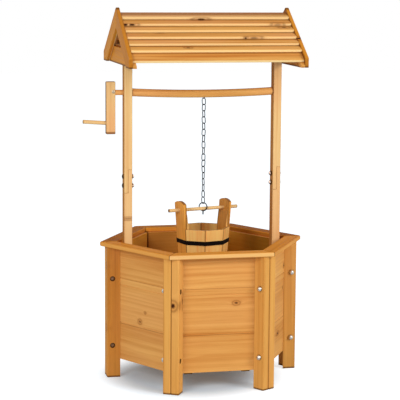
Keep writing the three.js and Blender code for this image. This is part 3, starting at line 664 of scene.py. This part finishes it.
def sawn(node, planes):
    """A closed copy of the part of a solid that lies behind every (place, outward normal)."""
    mesh = bmesh.new()
    mesh.from_mesh(nodes[node].data)
    bmesh.ops.remove_doubles(mesh, verts=mesh.verts, dist=TOUCHING)
    for place, normal in planes:
        geometry = mesh.verts[:] + mesh.edges[:] + mesh.faces[:]
        cut = bmesh.ops.bisect_plane(mesh, geom=geometry, dist=0.1 * TOUCHING, plane_co=place,
                                     plane_no=normal, clear_outer=True)
        bmesh.ops.holes_fill(mesh, edges=only(bmesh.types.BMEdge, cut["geom_cut"]), sides=0)
    bmesh.ops.dissolve_limit(mesh, angle_limit=math.radians(1), verts=mesh.verts, edges=mesh.edges)
    return mesh


PLANKS = ("low", "middle", "high")
# Strength and tint of the painted light and shade on each wall's inner face.
INSIDE_LIGHT_AND_SHADE = {"back": (0.6, DARK_OCHRE), "back_left": (0.5, SUNNY_OCHRE), "back_right": (0.5, PALE_OCHRE)}
SHADE_START, SHADE_RUN = AXIS.x + 160 * MM, 40 * MM
SEAM_SHADE = (0.35, 0.1, 0.0)
PLANK_TONES = {"front": (0.08, 0.32, 0.22), "front_left": (0.04, 0.04, 0.04), "front_right": (0, 0, 0)}
for side in SIDES:
    out = out_of(side)
    inside = [(towards(-out), *INSIDE_LIGHT_AND_SHADE.get(side, (0.55, OCHRE)))]
    if side == "back_right":
        # Painted shade that deepens towards the far end of the back right wall.
        far_end = beyond(X, SHADE_START, SHADE_START + SHADE_RUN)
        inside.append((both(towards(-out), far_end), 0.72, PAINTED_INNER_SHADE))
    for i, level in enumerate(PLANKS):
        lower, upper = PLANK_EDGES[i], PLANK_EDGES[i + 1]
        planes = [(Z * (lower + SAW_GAP), -Z)] if i else []
        planes += [(Z * (upper - SAW_GAP), Z)] if i < len(PLANKS) - 1 else []
        name = f"{side}_plank_{level}"
        held = [k for k in knots_of(f"{side}_wall") if lower < k[0].z < upper]
        marks = inside + [(near_end(Z, upper, *SEAM_LINE), SEAM_SHADE[i], BROWN)]
        finish = wood(name, PLANK, along_wall(side), Z, held, streaks=0.2,
                      tone=PLANK_TONES.get(side, (0.1, 0.1, 0.1))[i], marks=marks)
        board(name, sawn(f"{side}_wall", planes), finish, [] if i else [f"{side}_wall"])
print("sawn", len(SIDES) * len(PLANKS), "planks")

# %% [markdown]
# The floor solid is five boards on two bearers. A level cut parts boards from bearers, and
# upright cuts part the boards. Of the bearers only the lower edges show, and these carry painted
# shade, nearly black.

# %% Floor boards and bearers
FLOOR_BOTTOM = 70 * MM
FLOOR_BOARDS = 5
floor_low, floor_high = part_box("floor")
floor_pitch = (floor_high.y - floor_low.y) / FLOOR_BOARDS
for i in range(FLOOR_BOARDS):
    lower = floor_low.y + i * floor_pitch
    planes = [(Z * (FLOOR_BOTTOM + SAW_GAP), -Z), (Y * (lower + SAW_GAP), -Y),
              (Y * (lower + floor_pitch - SAW_GAP), Y)]
    name = f"floor_board_{i + 1}"
    board(name, sawn("floor", planes), wood(name, AMBER, X, Y), [] if i else ["floor"])
for side, sign in (("left", -1), ("right", 1)):
    planes = [(Z * (FLOOR_BOTTOM - SAW_GAP), Z), (AXIS, X * -sign)]
    name = f"floor_bearer_{side}"
    # Painted shade on the bearers' lower edges.
    marks = [(near_end(-Z, -floor_low.z, 10, 7.5), 0.95, PAINTED_BLACK_SHADE)]
    board(name, sawn("floor", planes), wood(name, DEEP, Y, X, marks=marks))
print("sawn", FLOOR_BOARDS, "floor boards and 2 bearers")

# %% [markdown]
# Each gable is two rafters on a tie beam. The rafters are what lies above two sloping planes, and
# the tie is what lies below both. The rafters' grain runs down the slope and the tie's runs
# level, which is what shows that they are separate boards.

# %% Rafters and tie beams
RAFTER_WIDTH = 15 * MM
rafter_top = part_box("left_gable_frame")[1].z
lower_apex = Z * (rafter_top - RAFTER_WIDTH / math.cos(ROOF_SLOPE))
for side in ("left", "right"):
    node = f"{side}_gable_frame"
    for place, sign in SLOPES:
        up = off_slope(sign)
        rafter = sawn(node, [(Y * sign * SAW_GAP, Y * -sign), (lower_apex + up * SAW_GAP, -up)])
        name = f"{side}_rafter_{place}"
        board(name, rafter, wood(name, AMBER, down_slope(sign), up))
    name = f"{side}_tie"
    tie = sawn(node, [(lower_apex - off_slope(sign) * SAW_GAP, off_slope(sign)) for _, sign in SLOPES])
    marks = [(near_end(-Z, -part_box(node)[0].z, 7, 2), 0.75, SHADE)]
    board(name, tie, wood(name, DEEP, Y, Z, marks=marks), [node])
print("sawn 4 rafters and 2 tie beams")

# %% [markdown]
# A bucket is made of staves with upright grain, and here two of the eight run up as ears that
# hold the cross bar. The planes between them go through the bucket's axis. A hair of a gap and a
# dark line at each joint show that they are separate. The staves' inner faces carry painted shade.

# %% Staves and bucket base
STAVES = 8
EARS = (0, 4)
STAVE_GAP = 0.35 * MM
STAVE_ARRIS = 1.1 * MM
bucket_axis = Vector((BAR_MIDDLE.x, BAR_MIDDLE.y, 0))
for i in range(STAVES):
    angle = BAR_ANGLE + i * CIRCLE / STAVES
    walls = []
    # Painted shade on the stave's inner face.
    marks = [(towards(-turned(angle)), 0.3, BROWN)]
    for way in (-1, 1):
        outward = turned(angle + way * (math.pi / STAVES + QUARTER))
        walls.append((bucket_axis - outward * STAVE_GAP, outward))
        marks.append((near_end(outward, bucket_axis.dot(outward), *MITRE_LINE), SEAM_DARK, BROWN))
    if i in EARS:
        marks.append((towards(Z, 0.5, 0.9), 0.5, BROWN))
    name = f"stave_{i + 1}"
    finish = wood(name, EAR if i in EARS else CREAM, Z, turned(angle + QUARTER), figure=0.7,
                  tone=-0.14, streaks=0.5, marks=marks)
    board(name, sawn("bucket_staves", walls), finish, [] if i else ["bucket_staves"], "bucket",
          STAVE_ARRIS)
stained("bucket_base", AMBER, BAR_DIRECTION, BAR_DIRECTION.cross(Z), tone=0.1)

# %% [markdown]
# Round wood is turned. A turned bar is a ring of points that is extruded station by station,
# moved and scaled, which gives shoulders, a bow and eased ends from one short helper. A ring can
# also be drawn out to a hexagon, for the bolts' heads and nuts.

# %% Helpers for turned bars
ROUND = 40
HEX = 6


def pulled(mesh, edges):
    """Extrudes a ring of edges, and gives back the new ring's points and edges."""
    made = bmesh.ops.extrude_edge_only(mesh, edges=edges)["geom"]
    verts = only(bmesh.types.BMVert, made)
    return verts, [e for e in only(bmesh.types.BMEdge, made) if set(e.verts) <= set(verts)]


def shape_ring(verts, distance, radius, offset, sides):
    """Moves a ring of points to its station and pulls it round or six-sided."""
    centre = sum((v.co for v in verts), Vector()) / len(verts)
    sector = CIRCLE / HEX
    for v in verts:
        way = (v.co - centre).normalized()
        reach = radius
        if sides == HEX:
            from_flat = (math.atan2(way.y, way.x) % sector) - sector / 2
            reach = radius * math.cos(sector / 2) / math.cos(from_flat)
        v.co = Vector((offset, 0, distance)) + way * reach


def ring_run(stations, segments=ROUND):
    """A closed bar along +Z from (distance, radius, offset along X, sides) stations, where the
    last two may be left out. With HEX for its sides, a ring's radius is its corner's."""
    mesh = bmesh.new()
    stations = [(*station, 0, 0)[:4] for station in stations]
    distance, _, offset, _ = stations[0]
    made = bmesh.ops.create_circle(mesh, cap_ends=True, segments=segments, radius=1,
                                   matrix=Matrix.Translation((offset, 0, distance)))
    edges = list(mesh.edges)
    shape_ring(made["verts"], *stations[0])
    for station in stations[1:]:
        verts, edges = pulled(mesh, edges)
        shape_ring(verts, *station)
    bmesh.ops.contextual_create(mesh, geom=edges)
    return mesh


def laid(mesh, start, direction, up=Z):
    """Turns a bar that was made along +Z so that it starts at a place and runs in a direction."""
    direction = direction.normalized()
    side = (up - direction * up.dot(direction)).normalized()
    turn = Matrix((side, direction.cross(side), direction)).transposed().to_4x4()
    bmesh.ops.transform(mesh, matrix=Matrix.Translation(start) @ turn, verts=mesh.verts)
    return mesh


def dowel(length, radius, ease):
    """A plain rod whose ends are rounded over."""
    slight = ease * 0.3
    return ring_run([(0, radius - ease), (slight, radius - slight), (ease, radius),
                     (length - ease, radius), (length - slight, radius - slight),
                     (length, radius - ease)])


def round_piece(name, mesh, finish, replaces=(), body="frame"):
    """A piece that is shaded smooth, but keeps its ends and shoulders crisp."""
    obj = new_piece(name, mesh, body, finish, replaces, smooth=True)
    obj.modifiers.new("crisp_shoulders", "EDGE_SPLIT").split_angle = math.radians(40)


print("turning helpers ready")

# %% [markdown]
# The axle is a thick dowel whose thin ends turn in the posts' holes. It hangs down a little in
# the middle, as in the photograph, so its stations follow a shallow bow between the shoulders.
# Bending a finished cylinder would tilt the thin ends as well.

# %% Axle
AXLE_LINE = 874.8 * MM
AXLE_RADIUS = 12.1 * MM
STUB_RADIUS = 8.2 * MM
AXLE_BOW = 6 * MM
AXLE_EASE = 1.5 * MM
BOW_STATIONS = 24
left_end, right_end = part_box("axle")[0].x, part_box("axle")[1].x
left_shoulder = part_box("left_post_upper")[1].x + 1 * MM
right_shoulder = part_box("right_post_upper")[0].x - 1 * MM
half_span = (right_shoulder - left_shoulder) / 2
bow_start, bow_end = left_shoulder - left_end, right_shoulder - left_end
stations = [(0, STUB_RADIUS), (bow_start, STUB_RADIUS), (bow_start, AXLE_RADIUS - AXLE_EASE),
            (bow_start + AXLE_EASE, AXLE_RADIUS)]
for i in range(1, BOW_STATIONS):
    share = 2 * i / BOW_STATIONS - 1
    bow = -AXLE_BOW * (1 - share * share)
    stations.append((bow_start + half_span * (1 + share), AXLE_RADIUS, bow))
stations += [(bow_end - AXLE_EASE, AXLE_RADIUS), (bow_end, AXLE_RADIUS - AXLE_EASE),
             (bow_end, STUB_RADIUS), (right_end - left_end, STUB_RADIUS)]
finish = wood("axle_turned", GOLD, X, Y, figure=0.7, tone=-0.06, blush=0.3, streaks=0.6)
axle = laid(ring_run(stations), Vector((left_end, 0, AXLE_LINE)), X)
round_piece("axle_turned", axle, finish, ["axle"], "windlass")
print("axle from", round(left_end, 4), "to", round(right_end, 4))

# %% [markdown]
# The crank's handle and the bucket's cross bar are plain dowels with rounded, darker ends. The
# handle tilts up a little towards its free end, as in the photograph.

# %% Crank handle and cross bar
HANDLE_RADIUS = 6 * MM
HANDLE_RISE = math.radians(4)
low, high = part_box("crank_handle")
direction = Vector((-math.cos(HANDLE_RISE), 0, math.sin(HANDLE_RISE)))
start = Vector((high.x, 0, low.z + HANDLE_RADIUS / math.cos(HANDLE_RISE)))
length = (high.x - low.x - 1 * MM) / math.cos(HANDLE_RISE)
handle = laid(dowel(length, HANDLE_RADIUS, 1.2 * MM), start, direction)
marks = [(near_end(-X, -low.x, 4, 2), 0.5, BROWN)]
finish = wood("handle_turned", STRAW, X, Y, figure=0.6, tone=0.25, marks=marks)
round_piece("handle_turned", handle, finish, ["crank_handle"], "windlass")

CROSS_BAR_RADIUS = 5.3 * MM
CROSS_BAR_LENGTH = 237 * MM
start = BAR_MIDDLE - BAR_DIRECTION * CROSS_BAR_LENGTH / 2
bar = laid(dowel(CROSS_BAR_LENGTH, CROSS_BAR_RADIUS, 1 * MM), start, BAR_DIRECTION)
marks = [(near_end(way, BAR_MIDDLE.dot(way) + CROSS_BAR_LENGTH / 2, 3, 1), 0.6, BROWN)
         for way in (BAR_DIRECTION, -BAR_DIRECTION)]
finish = wood("cross_bar_turned", STRAW, BAR_DIRECTION, Z, figure=0.6, marks=marks)
round_piece("cross_bar_turned", bar, finish, ["bucket_cross_bar"], "bucket")
print("handle", round(length, 4), "long, cross bar", CROSS_BAR_LENGTH, "long")

# %% [markdown]
# The zinc is bright on the corner bolts' heads and nearly black on the chain. On the nuts in their
# holes and on the laps' bolts it is browner and darker, which is painted shade and a painted
# reflection of the wood round them. One helper mottles two tones with fine noise, which is enough
# at this size. The hoop is a thin black painted band, almost without shine.

# %% Metal and band finishes


def metal(name, dark, bright, roughness, marks=()):
    finish = Finish(name)
    place = finish.add("ShaderNodeTexCoord", output="Object")
    mottle = finish.noise(place, scale=900.0)
    colour = finish.mix(mottle, dark, bright)
    for covers, strength, mark_colour in marks:
        colour = finish.mix(covers(finish, place, None) * strength, colour, mark_colour)
    finish.set(Base_Color=colour, Roughness=mottle * 0.2 + roughness, Metallic=1.0)
    return finish


# Dark brown zinc for the laps' bolts: painted shade and reflection.
lap_zinc = metal("lap_zinc", linear(54, 38, 24), linear(98, 76, 54), 0.22)
chain_steel = metal("chain_steel", linear(6, 5, 4), linear(40, 38, 36), 0.35)
# Brown zinc for the nuts in their holes: painted shade and a painted reflection of the wood.
nut_zinc = metal("nut_zinc", linear(124, 84, 58), linear(182, 138, 104), 0.4)
dull_zinc = metal("dull_zinc", linear(150, 130, 104), linear(226, 200, 166), 0.3)
band = Finish("black_band")
mottle = band.noise(band.add("ShaderNodeTexCoord", output="Object"), 3.0, 300.0)
band.set(Base_Color=band.mix(mottle, linear(4, 2, 1), linear(18, 10, 6)),
         Roughness=mottle * 0.3 + 0.5, Specular_IOR_Level=0.08)
dressed("bucket_hoop", band)
print("metal and band ready")

# %% [markdown]
# Wire is made by spinning a small circle. A chain link is half a turn, a straight run, half a
# turn and a straight run back. The links hang turn and turn about, a little twisted and leaning,
# as a slack chain does. The lowest link is a piece of its own, on the lift body.

# %% Chain
WIRE_SIDES = 10
BEND_STEPS = 10
CHAIN_LINKS = 17
LINK_WIRE = 1.3 * MM
LINK_PITCH = 19.07 * MM
LINK_LENGTH = LINK_PITCH + 1.7 * MM
LINK_BEND = 5.5 * MM
LINK_YAW = math.radians(32)
LINK_TWIST = 18
LINK_LEAN = 7
LINK_WELD = 0.02 * MM
chain_low, chain_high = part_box("chain")
chain_x = middle("chain").x


def wire_start(mesh, radius, place, cap_ends=False):
    """A small circle at a place, and its edges."""
    made = bmesh.ops.create_circle(mesh, cap_ends=cap_ends, segments=WIRE_SIDES, radius=radius,
                                   matrix=Matrix.Translation(place))
    return list(dict.fromkeys(e for v in made["verts"] for e in v.link_edges))


def wire_bend(mesh, edges, centre, axis):
    """Carries the open end of a wire half round a centre and gives back its new end."""
    made = bmesh.ops.spin(mesh, geom=edges, cent=centre, axis=axis, angle=math.pi, steps=BEND_STEPS,
                          use_merge=False)
    return only(bmesh.types.BMEdge, made["geom_last"])


def wire_straight(mesh, edges, move):
    """Carries the open end of a wire straight on and gives back its new end."""
    verts, edges = pulled(mesh, edges)
    bmesh.ops.translate(mesh, verts=verts, vec=move)
    return edges


def add_link(mesh, top, yaw, lean):
    """One closed link, whose upper wire centre is at a height."""
    half = LINK_LENGTH / 2 - LINK_BEND
    before = set(mesh.verts)
    edges = wire_start(mesh, LINK_WIRE, (LINK_BEND, 0, half))
    edges = wire_bend(mesh, edges, (0, 0, half), (0, -1, 0))
    edges = wire_straight(mesh, edges, (0, 0, -2 * half))
    edges = wire_bend(mesh, edges, (0, 0, -half), (0, -1, 0))
    wire_straight(mesh, edges, (0, 0, 2 * half))
    place = Matrix.Translation((chain_x, 0, top - LINK_LENGTH / 2)) @ Matrix.Rotation(yaw, 4, "Z")
    bmesh.ops.transform(mesh, matrix=place @ Matrix.Rotation(lean, 4, "Y"),
                        verts=[v for v in mesh.verts if v not in before])


twists = random.Random("chain")
link_yaws = [LINK_YAW + (i % 2) * QUARTER + math.radians(twists.uniform(-LINK_TWIST, LINK_TWIST))
             for i in range(CHAIN_LINKS)]
link_leans = [math.radians(twists.uniform(-LINK_LEAN, LINK_LEAN)) for i in range(CHAIN_LINKS)]


def links(first, last):
    mesh = bmesh.new()
    for i in range(first, last):
        add_link(mesh, chain_high.z - LINK_WIRE - i * LINK_PITCH, link_yaws[i], link_leans[i])
    bmesh.ops.remove_doubles(mesh, verts=mesh.verts, dist=LINK_WELD)
    return mesh


upper_links = new_piece("chain_upper_links", links(0, CHAIN_LINKS - 1), "frame", chain_steel,
                        smooth=True)
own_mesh(upper_links)
new_piece("chain_lowest_link", links(CHAIN_LINKS - 1, CHAIN_LINKS), "lift", chain_steel,
          ["chain"], smooth=True)
print("chain of", CHAIN_LINKS, "links, lowest wire at", round(chain_low.z, 4))

# %% [markdown]
# Under the chain hangs a ring of wire, bent round the cross bar, whose end sticks down as a short
# tail. The ring is a full spin and the tail a thin turned pin. The staple that holds the top link
# is wire too: two legs and a bend, driven into the axle from below.

# %% Ring and staple
RING_WIRE = 1.6 * MM
RING_RADIUS = 12.6 * MM
RING_YAW = math.radians(-30)
RING_STEPS = 56
TAIL_LENGTH = 12 * MM
ring_middle = Vector((middle("hook_ring").x, 0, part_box("hook_ring")[1].z - RING_WIRE - RING_RADIUS))
hook = ring_run([(0, RING_WIRE * 0.7), (TAIL_LENGTH * 0.15, RING_WIRE * 1.2),
                 (TAIL_LENGTH, RING_WIRE * 1.3)], WIRE_SIDES)
bmesh.ops.translate(hook, verts=hook.verts, vec=(0, 0, -RING_RADIUS - TAIL_LENGTH))
edges = wire_start(hook, RING_WIRE, (RING_RADIUS, 0, 0))
bmesh.ops.spin(hook, geom=edges, cent=(0, 0, 0), axis=(0, 1, 0), angle=CIRCLE, steps=RING_STEPS,
               use_merge=True)
place = Matrix.Translation(ring_middle) @ Matrix.Rotation(RING_YAW, 4, "Z")
bmesh.ops.transform(hook, matrix=place, verts=hook.verts)
new_piece("hook_wire", hook, "lift", chain_steel, ["hook_ring"], smooth=True)

STAPLE_WIRE = 0.9 * MM
STAPLE_BEND = 3.6 * MM
low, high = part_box("chain_staple")
leg = high.z - low.z - STAPLE_WIRE - STAPLE_BEND
staple = bmesh.new()
edges = wire_start(staple, STAPLE_WIRE, (STAPLE_BEND, 0, leg), cap_ends=True)
edges = wire_straight(staple, edges, (0, 0, -leg))
edges = wire_bend(staple, edges, (0, 0, 0), (0, 1, 0))
edges = wire_straight(staple, edges, (0, 0, leg))
bmesh.ops.contextual_create(staple, geom=edges)
place = Matrix.Translation((middle("chain_staple").x, 0, low.z + STAPLE_WIRE + STAPLE_BEND))
place = place @ Matrix.Rotation(LINK_YAW + QUARTER, 4, "Z")
bmesh.ops.transform(staple, matrix=place, verts=staple.verts)
new_piece("staple_wire", staple, "windlass", chain_steel, ["chain_staple"], smooth=True)
print("ring's middle at", round(ring_middle.z, 4), "and staple's leg", round(leg, 4), "long")

# %% [markdown]
# A bolt's head, a nut and a cap nut are short turned bars that change between round and six
# sides. The domed heads have a six-sided socket, which is two last stations that go back in. The
# heights are shares of the whole height.

# %% Heads and nuts
FEW = 24


def stacked(shares, height):
    """Stations from (share of the height, radius, sides) rows."""
    return [(height * share, radius, 0, sides) for share, radius, sides in shares]


def domed_head(radius, height, socket, place, direction):
    shares = [(0, radius, 0), (0.22, radius, 0), (0.5, radius * 0.93, 0), (0.75, radius * 0.78, 0),
              (0.92, radius * 0.58, 0), (1, radius * 0.42, 0), (1, socket, HEX), (0.7, socket, HEX)]
    return laid(ring_run(stacked(shares, height), FEW), place, direction)


def sunk_nut(radius, height, bolt, place, direction):
    """A plain nut with the bolt's end in it."""
    shares = [(0, radius, HEX), (0.85, radius, HEX), (1, radius * 0.86, 0), (1, bolt * 1.12, 0),
              (0.7, bolt, 0), (1.25, bolt, 0), (1.4, bolt * 0.8, 0)]
    return laid(ring_run(stacked(shares, height), FEW), place, direction)


def cap_nut(radius, height, place, direction):
    shares = [(0, radius, HEX), (0.36, radius, HEX), (0.44, radius * 0.86, 0), (0.46, radius * 0.74, 0),
              (0.72, radius * 0.66, 0), (0.88, radius * 0.5, 0), (0.97, radius * 0.28, 0),
              (1, radius * 0.1, 0)]
    return laid(ring_run(stacked(shares, height), FEW), place, direction)


print("head and nut helpers ready")

# %% [markdown]
# Two bolts pull each corner of the planter together. The head stands on the face of one leg
# board, and its nut lies in a round hole in the other. The head is bright, but its foot, where it
# meets the wood, carries painted shade.

# %% Corner bolts
CORNER_BOLT_REACH = 283 * MM
CORNER_BOLT_HEIGHTS = (308 * MM, 100 * MM)
HEAD_RADIUS, HEAD_HEIGHT, SOCKET_RADIUS = 8.2 * MM, 9 * MM, 1.8 * MM
NUT_RADIUS, NUT_HEIGHT, BOLT_RADIUS = 5.8 * MM, 4 * MM, 2.9 * MM
HOLE_RADIUS, HOLE_DEPTH = 7.6 * MM, 8 * MM


def corner_of(side):
    """The corner before a side: its angle and the way round the planter there."""
    corner = FACING[side] - SIDE_ANGLE / 2
    return corner, turned(corner + QUARTER)


for side in SIDES:
    corner, tangent = corner_of(side)
    before = SIDES[SIDES.index(side) - 1]
    foot = (AXIS - tangent * LEG_FACE).dot(tangent)
    # Painted shade on the head's foot, where it meets the wood.
    shaded = [(beyond(tangent, foot - HEAD_HEIGHT * 0.45, foot - HEAD_HEIGHT * 0.2), 0.8, SHADE)]
    zinc = metal(f"zinc_{before}_{side}", linear(176, 166, 154), linear(240, 232, 220), 0.2, shaded)
    for level, height in zip(("upper", "lower"), CORNER_BOLT_HEIGHTS):
        axis = AXIS + turned(corner, CORNER_BOLT_REACH, height)
        head = domed_head(HEAD_RADIUS, HEAD_HEIGHT, SOCKET_RADIUS, axis - tangent * LEG_FACE, -tangent)
        round_piece(f"bolt_head_{before}_{side}_{level}", head, zinc)
        seat = axis + tangent * (LEG_FACE - HOLE_DEPTH)
        nut = sunk_nut(NUT_RADIUS, NUT_HEIGHT, BOLT_RADIUS, seat, tangent)
        round_piece(f"nut_{before}_{side}_{level}", nut, nut_zinc)
print("corner bolts:", len(SIDES) * len(CORNER_BOLT_HEIGHTS))

# %% [markdown]
# Each lap in a post is held by two bolts, with flatter heads on the outer side and cap nuts on
# the inner side. A cap nut has a dark six-sided foot and a dome that carries a painted highlight.
# One screw holds the crank's arm to the axle.

# %% Lap bolts and arm screw
LAP_HEAD_RADIUS, LAP_HEAD_HEIGHT, LAP_SOCKET = 7.8 * MM, 4.2 * MM, 2.4 * MM
LAP_BOLT_HEIGHTS = (619 * MM, 591 * MM)
CAP_NUT_RADIUS, CAP_NUT_HEIGHT = 8 * MM, 8.6 * MM
CAP_GLEAM = linear(250, 222, 204)
for side, outward in (("left", -X), ("right", X)):
    low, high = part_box(f"{side}_post_lower")
    outer_x, inner_x = (low.x, high.x) if side == "left" else (high.x, low.x)
    dome = inner_x * -outward.x + CAP_NUT_HEIGHT * 0.4
    # Painted highlight on the cap nut's dome.
    gleam = [(beyond(-outward, dome, dome + 1 * MM), 0.9, CAP_GLEAM)]
    cap_zinc = metal(f"cap_zinc_{side}", linear(30, 18, 10), linear(64, 44, 28), 0.12, gleam)
    for level, height in zip(("upper", "lower"), LAP_BOLT_HEIGHTS):
        head = domed_head(LAP_HEAD_RADIUS, LAP_HEAD_HEIGHT, LAP_SOCKET, Vector((outer_x, 0, height)),
                          outward)
        round_piece(f"lap_bolt_{side}_{level}", head, lap_zinc)
        nut = cap_nut(CAP_NUT_RADIUS, CAP_NUT_HEIGHT, Vector((inner_x, 0, height)), -outward)
        round_piece(f"lap_nut_{side}_{level}", nut, cap_zinc)

SCREW_RADIUS, SCREW_HEIGHT, SCREW_SOCKET, SCREW_RISE = 5.6 * MM, 1.6 * MM, 3 * MM, 3 * MM
place = Vector((middle("crank_screw").x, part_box("crank_arm")[0].y, AXLE_LINE + SCREW_RISE))
screw = domed_head(SCREW_RADIUS, SCREW_HEIGHT, SCREW_SOCKET, place, -Y)
round_piece("arm_screw", screw, dull_zinc, ["crank_screw"], "windlass")
print("lap bolts:", 2 * len(LAP_BOLT_HEIGHTS), "and one screw")

# %% [markdown]
# The nuts' holes are bored in the leg boards with a Boolean. It works on a copy of the board, and
# its result is kept as a plain mesh, so that nothing in the finished model depends on the cutter.
# The walls of a hole carry painted shade, because little light gets in.

# %% Bored leg boards
BIT_SIDES = 28
BORED_ARRIS = 0.5 * MM
LEG_TONES = {"front_left_leg_left": TAN}


def bored(node, places, direction):
    """A closed copy of a solid with a round hole at each place."""
    blank = object_from("blank", sawn(node, []))
    drill_mesh = bmesh.new()
    for place in places:
        bit = ring_run([(-HOLE_DEPTH, HOLE_RADIUS), (HOLE_DEPTH, HOLE_RADIUS)], BIT_SIDES)
        laid(bit, place, direction)
        bit_data = bpy.data.meshes.new("bit")
        bit.to_mesh(bit_data)
        bit.free()
        drill_mesh.from_mesh(bit_data)
        bpy.data.meshes.remove(bit_data)
    bmesh.ops.recalc_face_normals(drill_mesh, faces=drill_mesh.faces)
    drill = object_from("drill", drill_mesh)
    boolean = blank.modifiers.new("bore", "BOOLEAN")
    boolean.object = drill
    boolean.operation = "DIFFERENCE"
    boolean.solver = "EXACT"
    bpy.context.view_layer.update()
    kept = bmesh.new()
    kept.from_mesh(blank.evaluated_get(bpy.context.evaluated_depsgraph_get()).data)
    for obj in (blank, drill):
        bpy.data.objects.remove(obj)
    return kept


for side in SIDES:
    corner, tangent = corner_of(side)
    faces = [AXIS + turned(corner, CORNER_BOLT_REACH, height) + tangent * LEG_FACE
             for height in CORNER_BOLT_HEIGHTS]
    marks = [FOOT_MARK, seam_mark(corner, -1)]
    # Painted shade on the walls of each hole.
    marks += [(within(face, tangent, HOLE_RADIUS, 1 * MM), 0.65, SHADE) for face in faces]
    node = f"{side}_leg_left"
    name = f"{node}_bored"
    finish = wood(name, LEG_TONES.get(node, AMBER), Z, out_of(side), knots_of(node),
                  figure=LEG_FIGURE, marks=marks)
    board(name, bored(node, faces, tangent), finish, [node], arris=BORED_ARRIS)
print("bored", len(SIDES), "leg boards")

# %% [markdown]
# The studio is a pale floor under a white world, with two large soft lamps, at a level where wood
# renders about as its colour is written. Only what the camera and mirror-like surfaces see of the
# world is lifted to white. The floor glows white for the camera alone, but the glow fades to grey
# in a soft round patch under the planter: that patch is a painted shadow, and the lamps' real
# shadow shows within it.

# %% Studio
WORLD_COLOUR, WORLD_STRENGTH = (0.97, 0.985, 1.0, 1), 0.45
WHITE = (1, 1, 1, 1)
LAMP_TARGET = Vector((0, 0, 0.6))
LAMP_SIZE = 1.8
FLOOR_SIZE = 14.0
FLOOR_COLOUR = (0.7, 0.82, 0.92, 1)
FLOOR_GLOW, SHADOW_GLOW = 0.7, (0.1, 0.11, 0.12, 1)
SHADOW_MIDDLE = (AXIS.x - 0.05, -0.06, 0)
SHADOW_CORE, SHADOW_REACH = 0.16, 0.33


def world_light():
    world = bpy.data.worlds.new("studio")
    bpy.context.scene.world = world
    sky = NodeBench(world)
    sky.tree.nodes.remove(sky.tree.nodes["Background"])
    plain = sky.add("ShaderNodeBackground", None, {"Color": WORLD_COLOUR, "Strength": WORLD_STRENGTH})
    seen = sky.add("ShaderNodeBackground", None, {"Color": WHITE, "Strength": 1.0})
    camera_ray = sky.add("ShaderNodeLightPath", output="Is Camera Ray")
    glossy_ray = sky.add("ShaderNodeLightPath", output="Is Glossy Ray")
    shown = camera_ray.math("MAXIMUM", glossy_ray)
    mixed = sky.add("ShaderNodeMixShader", None, {0: shown, 1: plain, 2: seen})
    sky.put(sky.tree.nodes["World Output"].inputs["Surface"], mixed)


def lamp(name, place, power):
    data = bpy.data.lights.new(name, "AREA")
    data.shape = "DISK"
    data.size = LAMP_SIZE
    data.energy = power
    in_scene(bpy.data.objects.new(name, data)).matrix_world = looking(place, LAMP_TARGET)


world_light()
lamp("left_window", Vector((-2.7, -3.1, 2.0)), 68)
lamp("right_window", Vector((2.7, -3.1, 2.0)), 78)

floor_mesh = bmesh.new()
bmesh.ops.create_grid(floor_mesh, x_segments=1, y_segments=1, size=FLOOR_SIZE)
studio_floor = object_from("studio_floor", floor_mesh)
pale = Finish("studio_floor")
floor_place = pale.add("ShaderNodeTexCoord", output="Object")
from_middle = pale.vector("DISTANCE", floor_place, SHADOW_MIDDLE, "Value")
seen_floor = pale.add("ShaderNodeLightPath", output="Is Camera Ray")
# The glow fades out round the planter: a painted shadow.
glow = from_middle.smooth(SHADOW_CORE, SHADOW_REACH) * seen_floor
pale.set(Base_Color=FLOOR_COLOUR, Roughness=1.0, Specular_IOR_Level=0.0,
         Emission_Color=pale.mix(glow, SHADOW_GLOW, WHITE), Emission_Strength=FLOOR_GLOW)
shown_with(studio_floor, pale)
bpy.context.scene.view_settings.view_transform = "Standard"
print("studio ready")
